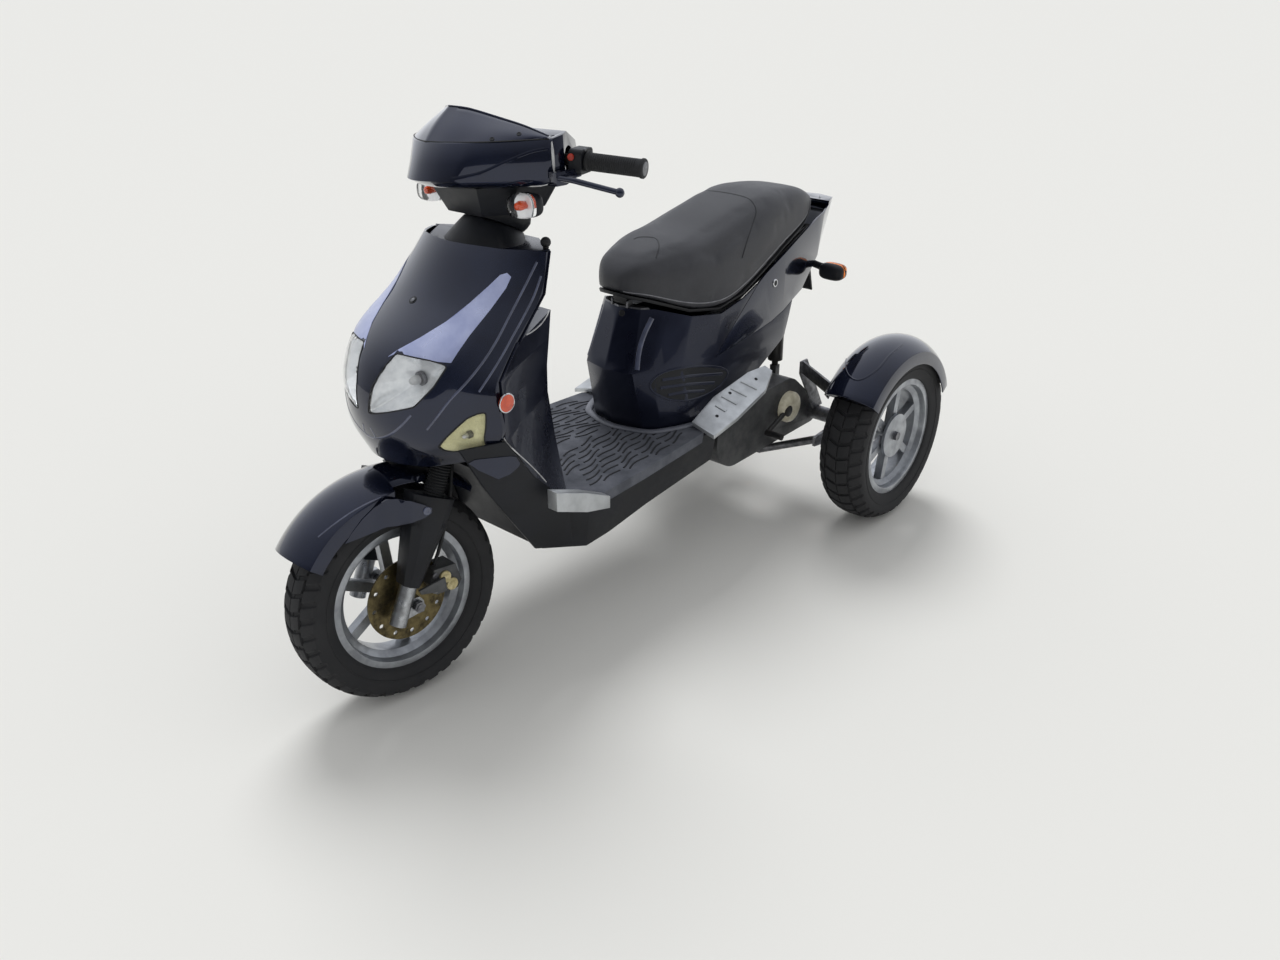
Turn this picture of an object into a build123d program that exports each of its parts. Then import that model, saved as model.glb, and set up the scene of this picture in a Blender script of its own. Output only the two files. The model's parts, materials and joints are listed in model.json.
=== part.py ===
from build123d import *
import math
import os

os.makedirs("parts", exist_ok=True)

# Lengths are in millimetres. Every piece is drawn from the foot of the front axle:
# x to the rider's left, y back, z up from the ground. The planes below then set it in the
# part's own frame, whose origin is on the ground under the middle of the overall length.

# Running gear
wheelbase = 1376
track = 790
front_radius = 236
front_width = 120
rear_radius = 243
rear_width = 130
bead_radius = 152
flange_radius = 166
front_rim_half = 38
rear_rim_half = 46
rim_wall = 5
tyre_wall = 9
spoke_count = 6
axle_radius = 7.5
spindle_radius = 12
axle_tube_radius = 21
axle_tube_half = 300
running_gap = 0.3
seat_gap = 0.3
moving_gap = 6

# Steering
rake = 26
parked_steer = -7.5
stem_radius = 14
head_radius = 28
head_low = 430
head_high = 690
yoke_low = 338
yoke_thickness = 26
leg_offset = 30
leg_spread = 85
leg_radius = 18
bar_along = 951
bar_radius = 11
grip_outer = 330
grip_radius = 17

# Bodywork
panel = 5
deck_top = 384
deck_thickness = 26
bucket_half = 93
bucket_wall = 3
rail_x = 112
rail_z = 320
rail_radius = 13
seat_pivot = (738, 696)
seat_pan_thickness = 8
guard_wall = 4

middle = (wheelbase + rear_radius - front_radius) / 2
ground = Location((0, -middle, 0))
steer_foot = Pos(0, 0, front_radius)
steer_turn = Rot(X=-rake) * Rot(Z=parked_steer) * Rot(X=rake)
parked = ground * steer_foot * steer_turn * steer_foot.inverse()
lean_back = math.sin(math.radians(rake))
lean_up = math.cos(math.radians(rake))


def side(x=0, base=ground):
    # sketch u runs back, v up, and an extrusion goes to the rider's left
    return Plane(base * Plane(origin=(x, 0, 0), x_dir=(0, 1, 0), z_dir=(1, 0, 0)).location)


def across(y=0, base=ground):
    # sketch u runs to the rider's left, v up, and an extrusion goes forward
    return Plane(base * Plane(origin=(0, y, 0), x_dir=(1, 0, 0), z_dir=(0, -1, 0)).location)


def level(z=0, base=ground):
    # sketch u runs to the rider's left, v back, and an extrusion goes up
    return Plane(base * Plane(origin=(0, 0, z)).location)


def stem_point(x, distance, back):
    # this far up the steering axis from the axle, and this far behind it, square to it
    y = distance * lean_back + back * lean_up
    return Vector(x, y, front_radius + distance * lean_up - back * lean_back)


def along_stem(distance, forward=0, base=parked):
    # square to the steering axis, this far up it from the axle: u left, v back and down
    origin = stem_point(0, distance, -forward)
    return Plane(base * Plane(origin=origin, x_dir=(1, 0, 0), z_dir=(0, lean_back, lean_up)).location)


def wheel_section(x, y, z, base):
    # u along the axle, v radial; the axle is this plane's own x axis
    return Plane(base * Plane(origin=(x, y, z), x_dir=(1, 0, 0), z_dir=(0, -1, 0)).location)


def wheel_face(x, y, z, base):
    # u back, v up, about the axle, facing the rider's left
    return Plane(base * Plane(origin=(x, y, z), x_dir=(0, 1, 0), z_dir=(1, 0, 0)).location)


def turned_section(angle, base, y, z):
    # a section plane through an axle, turned this far from straight back up towards the front
    a = math.radians(angle)
    facing = (0, -math.sin(a), math.cos(a))
    return Plane(base * Plane(origin=(0, y, z), x_dir=(1, 0, 0), z_dir=facing).location)


def point_in(base, point):
    return (base * Pos(point)).position


def both_sides(points):
    return points + [(-u, v) for u, v in reversed(points)]


def bonnet(nose, sx, sy, ex, ey, back, inset=0):
    # seen from above: an arc over the nose, straight flanks and a straight back
    left, right = (sx - inset, sy + inset), (-sx + inset, sy + inset)
    edge = ex - inset
    with BuildLine(mode=Mode.PRIVATE) as outline:
        ThreePointArc(right, (0, nose + inset), left)
        Polyline(left, (edge, ey + inset), (edge, back), (-edge, back), (-edge, ey + inset), right)
    return outline.line


def arch(half, top, drop, wall, centre=0):
    # an arched mudguard section: u across, v from the axle
    shoulder = half - 4
    knee = top - drop / 2
    foot = top - drop
    with BuildLine(mode=Mode.PRIVATE) as outline:
        ThreePointArc((centre - shoulder, knee), (centre, top), (centre + shoulder, knee))
        Polyline(
            (centre + shoulder, knee),
            (centre + half, foot),
            (centre + half - wall, foot),
            (centre + shoulder - wall, knee),
        )
        ThreePointArc(
            (centre + shoulder - wall, knee), (centre, top - wall), (centre - shoulder + wall, knee)
        )
        Polyline(
            (centre - shoulder + wall, knee),
            (centre - half + wall, foot),
            (centre - half, foot),
            (centre - shoulder, knee),
        )
    return outline.line


def tube(start, end, radius, base=ground):
    # a round bar between two points
    run = Vector(*end) - Vector(*start)
    turned = Plane(origin=Vector(*start), z_dir=run)
    with BuildPart(mode=Mode.PRIVATE) as bar:
        with BuildSketch(Plane(base * turned.location)):
            Circle(radius)
        extrude(amount=run.length)
    return bar.part


# Wheels
# name, frame, centre x, axle y, axle radius from ground, tyre half width, rim half width,
# hub bore, hub half length, spoke plane, spoke turn, hub plate radius, side that the dish faces
front = (parked, 0, 0, front_radius, front_width / 2, front_rim_half, axle_radius, 36, -14, 33, 34)
rear_from_hub = (wheelbase, rear_radius, rear_width / 2, rear_rim_half, spindle_radius, 40, 16, 20, 62)
wheels = [
    ("front", *front, 1),
    ("rear_left", ground, track / 2, *rear_from_hub, 1),
    ("rear_right", ground, -track / 2, *rear_from_hub, -1),
]
barrel_radius = 130
spoke_width = 22
spoke_thickness = 22
hub_wall = 16
plate_thickness = 8
for name, base, cx, cy, radius, half, rim_half, bore, hub_half, spoke_x, turn, plate, face in wheels:
    section = wheel_section(cx, cy, radius, base)
    spin = Axis(section.origin, section.x_dir)
    bead = rim_half - seat_gap
    foot = bead_radius + seat_gap
    wall_low = (half - 4, flange_radius + 14)
    wall_mid = (half, flange_radius + 38)
    shoulder = (half - 6, radius - 14)
    with BuildPart() as tyre:
        with BuildSketch(section):
            with BuildLine():
                half_outline = [(bead, foot), (bead, flange_radius + 2), wall_low]
                Polyline(*half_outline)
                ThreePointArc(wall_low, wall_mid, shoulder)
                ThreePointArc(shoulder, (0, radius), (-shoulder[0], shoulder[1]))
                ThreePointArc(
                    (-shoulder[0], shoulder[1]), (-wall_mid[0], wall_mid[1]), (-wall_low[0], wall_low[1])
                )
                Polyline(*[(-u, v) for u, v in reversed(half_outline)])
                Line((-bead, foot), (bead, foot))
            make_face()
        revolve(axis=spin)
        air_half = half - tyre_wall
        mouth = rim_half - tyre_wall
        air_side = [(mouth, bead_radius - 5), (mouth, flange_radius + 6), (air_half, flange_radius + 20)]
        with BuildSketch(section):
            with BuildLine():
                Polyline(*air_side)
                ThreePointArc(air_side[2], (0, radius - tyre_wall - 6), (-air_half, flange_radius + 20))
                Polyline(*[(-u, v) for u, v in reversed(air_side)])
                Line((-mouth, bead_radius - 5), (mouth, bead_radius - 5))
            make_face()
        revolve(axis=spin, mode=Mode.SUBTRACT)
    tyre.part.label = f"{name}_tyre"
    export_step(tyre.part, f"parts/{name}_tyre.step")

    flange_outer = rim_half + rim_wall
    outside = [
        (flange_outer, flange_radius),
        (rim_half, flange_radius),
        (rim_half, bead_radius),
        (rim_half - 14, bead_radius - 2),
        (rim_half - 20, barrel_radius + rim_wall),
    ]
    inside = [
        (flange_outer, bead_radius - rim_wall + 1),
        (rim_half - 10, bead_radius - rim_wall - 3),
        (rim_half - 18, barrel_radius),
    ]
    with BuildPart() as rim:
        with BuildSketch(section):
            with BuildLine():
                Polyline(*both_sides(outside), *reversed(both_sides(inside)), close=True)
            make_face()
        revolve(axis=spin)
        with BuildSketch(wheel_face(cx + face * spoke_x, cy, radius, base)):
            with PolarLocations(0, spoke_count, start_angle=turn):
                with Locations((barrel_radius / 2 + 2, 0)):
                    Rectangle(barrel_radius, spoke_width)
        extrude(amount=spoke_thickness / 2, both=True)
        with BuildSketch(wheel_face(cx, cy, radius, base)):
            Circle(bore + hub_wall)
        extrude(amount=hub_half, both=True)
        with BuildSketch(wheel_face(cx + face * hub_half, cy, radius, base)):
            Circle(plate)
        extrude(amount=-face * plate_thickness)
        with BuildSketch(wheel_face(cx, cy, radius, base)):
            Circle(bore + running_gap)
        extrude(amount=hub_half + 10, both=True, mode=Mode.SUBTRACT)
    rim.part.label = f"{name}_rim"
    export_step(rim.part, f"parts/{name}_rim.step")

# Front brake: a disc on the rider's left of the hub, with ring holes
disc_x = 48
disc_radius = 92
disc_thickness = 4
disc_bore = 30
disc_hole_ring = disc_radius - 14
hub_end = 36
with BuildPart() as brake_disc:
    with BuildSketch(wheel_face(disc_x, 0, front_radius, parked)):
        Circle(disc_radius)
        with PolarLocations(disc_hole_ring, 12):
            Circle(5, mode=Mode.SUBTRACT)
    extrude(amount=disc_thickness)
    with BuildSketch(wheel_face(hub_end + seat_gap, 0, front_radius, parked)):
        Circle(disc_bore)
    extrude(amount=disc_x - hub_end)
    with BuildSketch(wheel_face(0, 0, front_radius, parked)):
        Circle(axle_radius + running_gap)
    extrude(amount=disc_x + 20, mode=Mode.SUBTRACT)
brake_disc.part.label = "brake_disc"
export_step(brake_disc.part, "parts/brake_disc.step")

# Front axle, its nuts at the legs
with BuildPart() as front_axle:
    with BuildSketch(wheel_face(0, 0, front_radius, parked)):
        Circle(axle_radius)
    extrude(amount=leg_spread + 22, both=True)
    for nut_side in (1, -1):
        with BuildSketch(wheel_face(nut_side * (leg_spread + 12), 0, front_radius, parked)):
            RegularPolygon(13, 6)
        extrude(amount=nut_side * 8)
front_axle.part.label = "front_axle"
export_step(front_axle.part, "parts/front_axle.step")

# Fork: two legs ahead of the stem, each with a lug back to the axle
leg_foot = -47
leg_top = yoke_low - seat_gap
axle_lug_half = 8
with BuildPart() as fork_legs:
    for leg_x in (leg_spread, -leg_spread):
        with BuildSketch(along_stem(leg_foot, leg_offset)):
            with Locations((leg_x, 0)):
                Circle(leg_radius)
        extrude(amount=leg_top - leg_foot)
        with BuildSketch(wheel_face(leg_x, 0, front_radius, parked)):
            with BuildLine():
                Polyline((16, 6), (8, 18), (-36, 22), (-52, -24), (4, -18), (16, -8), close=True)
            make_face()
        extrude(amount=axle_lug_half, both=True)
    with BuildSketch(wheel_face(0, 0, front_radius, parked)):
        Circle(axle_radius + running_gap)
    extrude(amount=leg_spread + leg_radius, both=True, mode=Mode.SUBTRACT)
fork_legs.part.label = "fork_legs"
export_step(fork_legs.part, "parts/fork_legs.step")

# Yoke and stem, turning in the frame's head tube
stem_top = bar_along - 34
yoke_half = leg_spread + 22
yoke_outline = [
    (-yoke_half, -leg_offset + 18),
    (-yoke_half, -leg_offset - 20),
    (yoke_half, -leg_offset - 20),
    (yoke_half, -leg_offset + 18),
    (34, 32),
    (-34, 32),
]
with BuildPart() as fork_stem:
    with BuildSketch(along_stem(yoke_low)):
        with BuildLine():
            Polyline(*yoke_outline, close=True)
        make_face()
    extrude(amount=yoke_thickness)
    with BuildSketch(along_stem(yoke_low)):
        Circle(stem_radius)
    extrude(amount=stem_top - yoke_low)
fork_stem.part.label = "fork_stem"
export_step(fork_stem.part, "parts/fork_stem.step")

# Black shrouds over the upper legs
cover_foot = 42
cover_top = 268
cover_inner = front_width / 2 + moving_gap
# how far up the stem, outer face, front and back reach from the leg's line
cover_sections = [
    (cover_foot, 108, 20, 20),
    (170, 116, 46, 34),
    (cover_top, 116, 60, 40),
]
with BuildPart() as fork_covers:
    for up, outer, ahead, behind in cover_sections:
        cover_outline = [
            (cover_inner, -ahead),
            (outer - 10, -ahead),
            (outer, -ahead / 2),
            (outer, behind / 2),
            (outer - 10, behind),
            (cover_inner, behind),
        ]
        with BuildSketch(along_stem(up, leg_offset)):
            with BuildLine():
                Polyline(*cover_outline, close=True)
            make_face()
    loft(ruled=True)
    with BuildSketch(along_stem(cover_foot - 1, leg_offset)):
        with Locations((leg_spread, 0)):
            Circle(leg_radius + seat_gap)
    extrude(amount=cover_top - cover_foot + 2, mode=Mode.SUBTRACT)
    mirror(about=side(0, parked))
fork_covers.part.label = "fork_covers"
export_step(fork_covers.part, "parts/fork_covers.step")

# Front mudguard: full width ahead of the legs, narrower between them
guard_radius = 284
guard_half = 77
guard_drop = 54
guard_neck_half = 58
guard_neck_drop = 24
guard_front_angle = 142
guard_leg_angle = 90
guard_back_angle = 46
guard_lug = (66, 260)
with BuildPart() as front_guard:
    guard_plane = turned_section(guard_leg_angle, parked, 0, front_radius)
    guard_axis = Axis(guard_plane.origin, guard_plane.x_dir)
    with BuildSketch(guard_plane):
        add(arch(guard_half, guard_radius, guard_drop, guard_wall))
        make_face()
    revolve(axis=guard_axis, revolution_arc=guard_front_angle - guard_leg_angle)
    with BuildSketch(guard_plane):
        add(arch(guard_neck_half, guard_radius, guard_neck_drop, guard_wall))
        make_face()
    revolve(axis=guard_axis, revolution_arc=guard_back_angle - guard_leg_angle)
    for lug_side in (1, -1):
        with BuildSketch(wheel_face(lug_side * (guard_neck_half - guard_wall), 0, front_radius, parked)):
            with Locations(guard_lug):
                Rectangle(20, 14)
        extrude(amount=lug_side * (cover_inner - seat_gap - guard_neck_half + guard_wall))
front_guard.part.label = "front_guard"
export_step(front_guard.part, "parts/front_guard.step")

# Brake caliper on a bracket behind the left leg, straddling the disc
caliper_front = 40
caliper_back = 118
caliper_low = -6
caliper_high = 52
caliper_x = disc_x - 16
caliper_width = 50
pad_gap = 3
caliper_outline = [
    (caliper_front + 14, caliper_low + 4),
    (caliper_back - 12, caliper_low),
    (caliper_back, caliper_low + 16),
    (caliper_back - 10, caliper_high),
    (caliper_front + 16, caliper_high + 4),
    (caliper_front, caliper_high - 24),
]
bracket_outline = [(6, 34), (caliper_front + 30, 40), (caliper_front + 30, 8), (10, 24)]
with BuildPart() as brake_caliper:
    with BuildSketch(wheel_face(caliper_x, 0, front_radius, parked)):
        with BuildLine():
            Polyline(*caliper_outline, close=True)
        make_face()
    extrude(amount=caliper_width)
    with BuildSketch(wheel_face(disc_x - pad_gap, 0, front_radius, parked)):
        Circle(disc_radius + 5)
    extrude(amount=disc_thickness + 2 * pad_gap, mode=Mode.SUBTRACT)
    with BuildSketch(wheel_face(leg_spread + axle_lug_half + seat_gap, 0, front_radius, parked)):
        with BuildLine():
            Polyline(*bracket_outline, close=True)
        make_face()
    extrude(amount=6)
    with BuildSketch(wheel_face(leg_spread - 4, 0, front_radius, parked)):
        with Locations((caliper_front + 22, 24)):
            Circle(11)
    extrude(amount=14)
brake_caliper.part.label = "brake_caliper"
export_step(brake_caliper.part, "parts/brake_caliper.step")

# Brake hose: from the caliper's top, behind the left leg, to the yoke's underside
hose_radius = 4
# x, distance up the steering axis from the axle, distance behind it
hose_route = [
    (62, 81, 36),
    (64, 124, 37),
    (72, 182, 28),
    (74, 240, 20),
    (69, 292, 9),
    (66, yoke_low - 2, 2),
]
hose_points = [stem_point(*p) for p in hose_route]
hose_runs = [b - a for a, b in zip(hose_points, hose_points[1:])]
hose_bends = []
for run_in, run_out in zip(hose_runs, hose_runs[1:]):
    half_turn = math.radians(run_in.get_angle(run_out)) / 2
    hose_bends.append(0.45 * min(run_in.length, run_out.length) / math.tan(half_turn))
print("hose bend radii", [round(bend) for bend in hose_bends])
with BuildPart() as brake_hose:
    with BuildLine():
        hose_line = FilletPolyline(*[point_in(parked, p) for p in hose_points], radius=hose_bends)
    with BuildSketch(Plane(origin=hose_line @ 0, z_dir=hose_line % 0)):
        Circle(hose_radius)
    sweep()
brake_hose.part.label = "brake_hose"
export_step(brake_hose.part, "parts/brake_hose.step")

# Handlebar: a swept bar clamped on the stem's top
bar_height = front_radius + bar_along * lean_up
bar_back = bar_along * lean_back - 14
# x, y behind the bar's middle, z above it; the other half is its mirror image
bar_points = [(112, -14, 0), (205, 2, 0), (grip_outer + 10, 64, -15)]
grip_start = 234
pod_start = 208
cowl_end = 206
bar_half = [Vector(x, bar_back + y, bar_height + z) for x, y, z in bar_points]
bar_path = [Vector(-p.X, p.Y, p.Z) for p in reversed(bar_half)] + bar_half
grip_direction = (bar_half[2] - bar_half[1]).normalized()


def on_bar(x, base=parked):
    # square to the bar's end run where it crosses this x
    start = bar_half[1] + grip_direction * ((x - bar_half[1].X) / grip_direction.X)
    return Plane(base * Plane(origin=start, z_dir=grip_direction).location)


with BuildPart() as handlebar:
    with BuildLine():
        bar_line = FilletPolyline(*[point_in(parked, p) for p in bar_path], radius=40)
    with BuildSketch(Plane(origin=bar_line @ 0, z_dir=bar_line % 0)):
        Circle(bar_radius)
    sweep()
    with BuildSketch(along_stem(stem_top + seat_gap)):
        Circle(21)
    extrude(amount=24)
handlebar.part.label = "handlebar"
export_step(handlebar.part, "parts/handlebar.step")

grip_length = (grip_outer - grip_start) / grip_direction.X
with BuildPart() as grips:
    with BuildSketch(on_bar(grip_start)):
        Circle(grip_radius)
    extrude(amount=grip_length)
    with BuildSketch(on_bar(grip_outer)):
        Circle(grip_radius + 3)
    extrude(amount=8)
    with BuildSketch(on_bar(grip_start - 5)):
        Circle(bar_radius + seat_gap)
    extrude(amount=grip_length + 40, mode=Mode.SUBTRACT)
    mirror(about=side(0, parked))
grips.part.label = "grips"
export_step(grips.part, "parts/grips.step")

pod_length = (grip_start - pod_start) / grip_direction.X - 2
pod_height = 52
pod_depth = 46
with BuildPart() as switch_pods:
    with BuildSketch(on_bar(pod_start)):
        with Locations((2, 0)):
            RectangleRounded(pod_height, pod_depth, 9)
    extrude(amount=pod_length)
    with BuildSketch(on_bar(pod_start - 5)):
        Circle(bar_radius + seat_gap)
    extrude(amount=pod_length + 20, mode=Mode.SUBTRACT)
    mirror(about=side(0, parked))
switch_pods.part.label = "switch_pods"
export_step(switch_pods.part, "parts/switch_pods.step")

# Brake levers: pivot block, swept blade and ball end
lever_points = [(226, 350, 1066), (262, 356, 1064), (346, 398, 1043)]
lever_radius = 5.5
ball_radius = 9
perch_length = 22
with BuildPart() as brake_levers:
    with BuildLine():
        lever_line = FilletPolyline(*[point_in(parked, p) for p in lever_points], radius=60)
    with BuildSketch(Plane(origin=lever_line @ 0, z_dir=lever_line % 0)):
        Circle(lever_radius)
    sweep()
    with Locations(lever_line @ 1):
        Sphere(ball_radius)
    with BuildSketch(side(pod_start + 1, parked)):
        with BuildLine():
            Polyline((344, 1056), (404, 1062), (404, 1078), (344, 1076), close=True)
        make_face()
    extrude(amount=perch_length)
    with BuildSketch(on_bar(pod_start - 8)):
        with Locations((2, 0)):
            RectangleRounded(pod_height + 2 * seat_gap, pod_depth + 2 * seat_gap, 9)
    extrude(amount=pod_length + 20, mode=Mode.SUBTRACT)
    mirror(about=side(0, parked))
brake_levers.part.label = "brake_levers"
export_step(brake_levers.part, "parts/brake_levers.step")

# Front cowl below the screen: half of each level's outline, widest at its ends
cowl_back = 362
# height, nose y, shoulder x and y, end x and y
cowl_sections = [
    (1046, 226, 100, 276, 176, 345),
    (1066, 180, 92, 226, cowl_end, 350),
    (1134, 214, 118, 262, cowl_end, 356),
]
screen_sections = [
    (1135, 214, 118, 262, 196, 338),
    (1176, 310, 82, 318, 104, 330),
]
with BuildPart() as cowl:
    for height, nose, sx, sy, ex, ey in cowl_sections:
        with BuildSketch(level(height, parked)):
            add(bonnet(nose, sx, sy, ex, ey, cowl_back))
            make_face()
    loft(ruled=True)
    for height, nose, sx, sy, ex, ey in cowl_sections:
        lift = panel if height == cowl_sections[0][0] else 0
        with BuildSketch(level(height + lift, parked)):
            add(bonnet(nose, sx, sy, ex, ey, cowl_back + 1, panel))
            make_face()
    loft(ruled=True, mode=Mode.SUBTRACT)
cowl.part.label = "cowl"
export_step(cowl.part, "parts/cowl.step")

with BuildPart() as windscreen:
    for height, nose, sx, sy, ex, ey in screen_sections:
        with BuildSketch(level(height, parked)):
            add(bonnet(nose, sx, sy, ex, ey, ey + 8))
            make_face()
    loft(ruled=True)
    for height, nose, sx, sy, ex, ey in screen_sections:
        with BuildSketch(level(height, parked)):
            add(bonnet(nose, sx, sy, ex, ey, ey + 9, panel - 1))
            make_face()
    loft(ruled=True, mode=Mode.SUBTRACT)
windscreen.part.label = "windscreen"
export_step(windscreen.part, "parts/windscreen.step")

# Rear half of the handlebar cover, with the instrument face and two mirror holes
mirror_hole_x = 190
mirror_hole_y = 374
mirror_hole_radius = 4
dash_front = cowl_back + seat_gap
dash_profile = [(dash_front, 1046), (dash_front, 1134), (404, 1142), (452, 1118), (466, 1076), (440, 1046)]
dash_cavity = [
    (cowl_back, 1046 + panel),
    (cowl_back, 1134 - panel),
    (402, 1142 - panel),
    (447, 1115),
    (460, 1078),
    (437, 1046 + panel),
]
# half of the cover seen from above: its ends draw in behind the mirror holes
dash_shoulder = 386
dash_back_half = 146


def dash_plan(inset):
    corner = (cowl_end - inset, dash_shoulder - inset / 2)
    half = [(cowl_end - inset, cowl_back - 5), corner, (dash_back_half - inset, 470)]
    with BuildLine(mode=Mode.PRIVATE) as outline:
        Polyline(*both_sides(half), close=True)
    return outline.line


with BuildPart() as dash:
    with BuildSketch(side(0, parked)):
        with BuildLine():
            Polyline(*dash_profile, close=True)
        make_face()
    extrude(amount=cowl_end, both=True)
    with BuildSketch(level(1040, parked)):
        add(dash_plan(0))
        make_face()
    extrude(amount=110, mode=Mode.INTERSECT)
    with BuildPart(mode=Mode.PRIVATE) as dash_inside:
        with BuildSketch(side(0, parked)):
            with BuildLine():
                Polyline(*dash_cavity, close=True)
            make_face()
        extrude(amount=cowl_end, both=True)
        with BuildSketch(level(1040, parked)):
            add(dash_plan(panel))
            make_face()
        extrude(amount=110, mode=Mode.INTERSECT)
    add(dash_inside.part, mode=Mode.SUBTRACT)
    with BuildSketch(side(0, parked)):
        with Locations((bar_back + 6, bar_height)):
            Circle(24)
    extrude(amount=cowl_end + 1, both=True, mode=Mode.SUBTRACT)
    with BuildSketch(level(1120, parked)):
        with Locations((mirror_hole_x, mirror_hole_y), (-mirror_hole_x, mirror_hole_y)):
            Circle(mirror_hole_radius)
    extrude(amount=40, mode=Mode.SUBTRACT)
    with BuildSketch(along_stem(stem_top - 60)):
        Circle(23)
    extrude(amount=60, mode=Mode.SUBTRACT)
dash.part.label = "dash"
export_step(dash.part, "parts/dash.step")

# Neck cover round the stem, with the lamp stalks' seats on its flanks
# height, front corner x and y, flank x and y, back y
neck_sections = [(986, 60, 284, 86, 330, 430), (1045, 84, 262, 126, 330, 446)]
with BuildPart() as neck:
    for inset, shape in ((0, Mode.ADD), (panel, Mode.SUBTRACT)):
        for height, fx, fy, wx, wy, back in neck_sections:
            half_outline = [(fx, fy + inset), (wx - inset, wy), (wx - inset - 12, back - inset)]
            with BuildSketch(level(height, parked)):
                with BuildLine():
                    Polyline(*both_sides(half_outline), close=True)
                make_face()
        loft(ruled=True, mode=shape)
neck.part.label = "neck"
export_step(neck.part, "parts/neck.step")

# Front indicators on short stalks from the neck
blinker_y = 316
blinker_z = 1014
with BuildPart() as front_blinkers:
    with BuildSketch(side(128, parked)):
        with Locations((blinker_y, blinker_z)):
            RectangleRounded(62, 46, 14)
    extrude(amount=66, taper=6)
    with BuildSketch(side(114, parked)):
        with Locations((blinker_y + 14, blinker_z + 2)):
            Circle(11)
    extrude(amount=15)
    mirror(about=side(0, parked))
front_blinkers.part.label = "front_blinkers"
export_step(front_blinkers.part, "parts/front_blinkers.step")

# Frame: head tube with a down tube to a cross tube under the floor
down_top = (228, 680)
down_foot = (345, rail_z)
down_radius = 22
cross_radius = 16
with BuildPart() as head_frame:
    with BuildSketch(along_stem(head_low, base=ground)):
        Circle(head_radius)
    extrude(amount=head_high - head_low)
    add(tube((0, *down_top), (0, *down_foot), down_radius))
    with BuildSketch(side(0)):
        with Locations(down_foot):
            Circle(cross_radius)
    extrude(amount=rail_x + rail_radius, both=True)
    with BuildSketch(along_stem(head_low - 20, base=ground)):
        Circle(stem_radius + running_gap)
    extrude(amount=head_high - head_low + 60, mode=Mode.SUBTRACT)
head_frame.part.label = "head_frame"
export_step(head_frame.part, "parts/head_frame.step")

# Side rails under the floor, rising behind the storage bucket to the tail
rail_start = down_foot[0] + cross_radius + seat_gap
rail_bend = (880, rail_z)
rail_shoulder = (1050, 560)
rail_end = (1120, 600)
with BuildPart() as side_rails:
    for rail_side in (rail_x, -rail_x):
        rail_points = [(rail_start, rail_z), rail_bend, rail_shoulder, rail_end]
        with BuildLine():
            rail_line = FilletPolyline(
                *[point_in(ground, Vector(rail_side, *p)) for p in rail_points], radius=60
            )
        with BuildSketch(Plane(origin=rail_line @ 0, z_dir=rail_line % 0)):
            Circle(rail_radius)
        sweep()
side_rails.part.label = "side_rails"
export_step(side_rails.part, "parts/side_rails.step")

# Tail frame: a cross tube between the rails and two tubes back to the tail
tail_tube_x = 52
tail_tube_radius = 10
tail_cross = (1106, 606)
tail_end = (1470, 742)
tail_run = Vector(0, tail_end[0] - tail_cross[0], tail_end[1] - tail_cross[1]).normalized()
with BuildPart() as tail_frame:
    with BuildSketch(side(0)):
        with Locations(tail_cross):
            Circle(tail_tube_radius + 2)
    extrude(amount=rail_x - rail_radius - seat_gap, both=True)
    for tube_x in (tail_tube_x, -tail_tube_x):
        tube_start = Vector(tube_x, *tail_cross) + tail_run * 4
        add(tube(tube_start, (tube_x, *tail_end), tail_tube_radius))
    with BuildSketch(side(0)):
        with Locations(tail_end):
            Circle(tail_tube_radius)
    extrude(amount=tail_tube_x + tail_tube_radius, both=True)
tail_frame.part.label = "tail_frame"
export_step(tail_frame.part, "parts/tail_frame.step")

# Front apron: a shell open at the back, below and above, with four lamp openings
apron_return = 8
# height, nose y, shoulder x and y, edge x and y
apron_sections = [
    (545, 18, 84, 60, 150, 124),
    (600, -4, 134, 40, 208, 148),
    (660, -16, 136, 40, 208, 150),
    (715, -6, 150, 60, 198, 156),
    (775, 34, 154, 98, 186, 218),
    (850, 142, 146, 196, 176, 306),
    (945, 226, 120, 268, 170, 336),
]
headlamp_outline = [
    (16, 657),
    (42, 663),
    (112, 684),
    (138, 722),
    (150, 760),
    (120, 768),
    (50, 774),
    (24, 712),
]
side_lamp_outline = [(142, 600), (150, 585), (178, 580), (190, 590), (196, 628), (194, 664), (176, 656)]
lamp_gap = 0.5
lamp_reach = 400
with BuildPart() as apron_blank:
    for inset, shape in ((0, Mode.ADD), (panel, Mode.SUBTRACT)):
        for height, nose, sx, sy, ex, ey in apron_sections:
            with BuildSketch(level(height)):
                add(bonnet(nose, sx, sy, ex, ey, ey + apron_return + inset, inset))
                make_face()
        loft(ruled=True, mode=shape)

with BuildPart() as front_apron:
    add(apron_blank.part)
    for outline in (headlamp_outline, side_lamp_outline):
        for lamp_side in (1, -1):
            with BuildSketch(across(250)):
                with BuildLine():
                    Polyline(*[(lamp_side * u, v) for u, v in outline], close=True)
                make_face()
                offset(amount=lamp_gap, kind=Kind.INTERSECTION)
            extrude(amount=lamp_reach, mode=Mode.SUBTRACT)
front_apron.part.label = "front_apron"
export_step(front_apron.part, "parts/front_apron.step")

for lamp_name, outline in (("headlamps", headlamp_outline), ("side_lamps", side_lamp_outline)):
    with BuildPart() as lamps:
        with BuildSketch(across(250)):
            for lamp_side in (1, -1):
                with BuildLine():
                    Polyline(*[(lamp_side * u, v) for u, v in outline], close=True)
                make_face()
        extrude(amount=lamp_reach)
        add(apron_blank.part, mode=Mode.INTERSECT)
    lamps.part.label = lamp_name
    export_step(lamps.part, f"parts/{lamp_name}.step")

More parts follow.
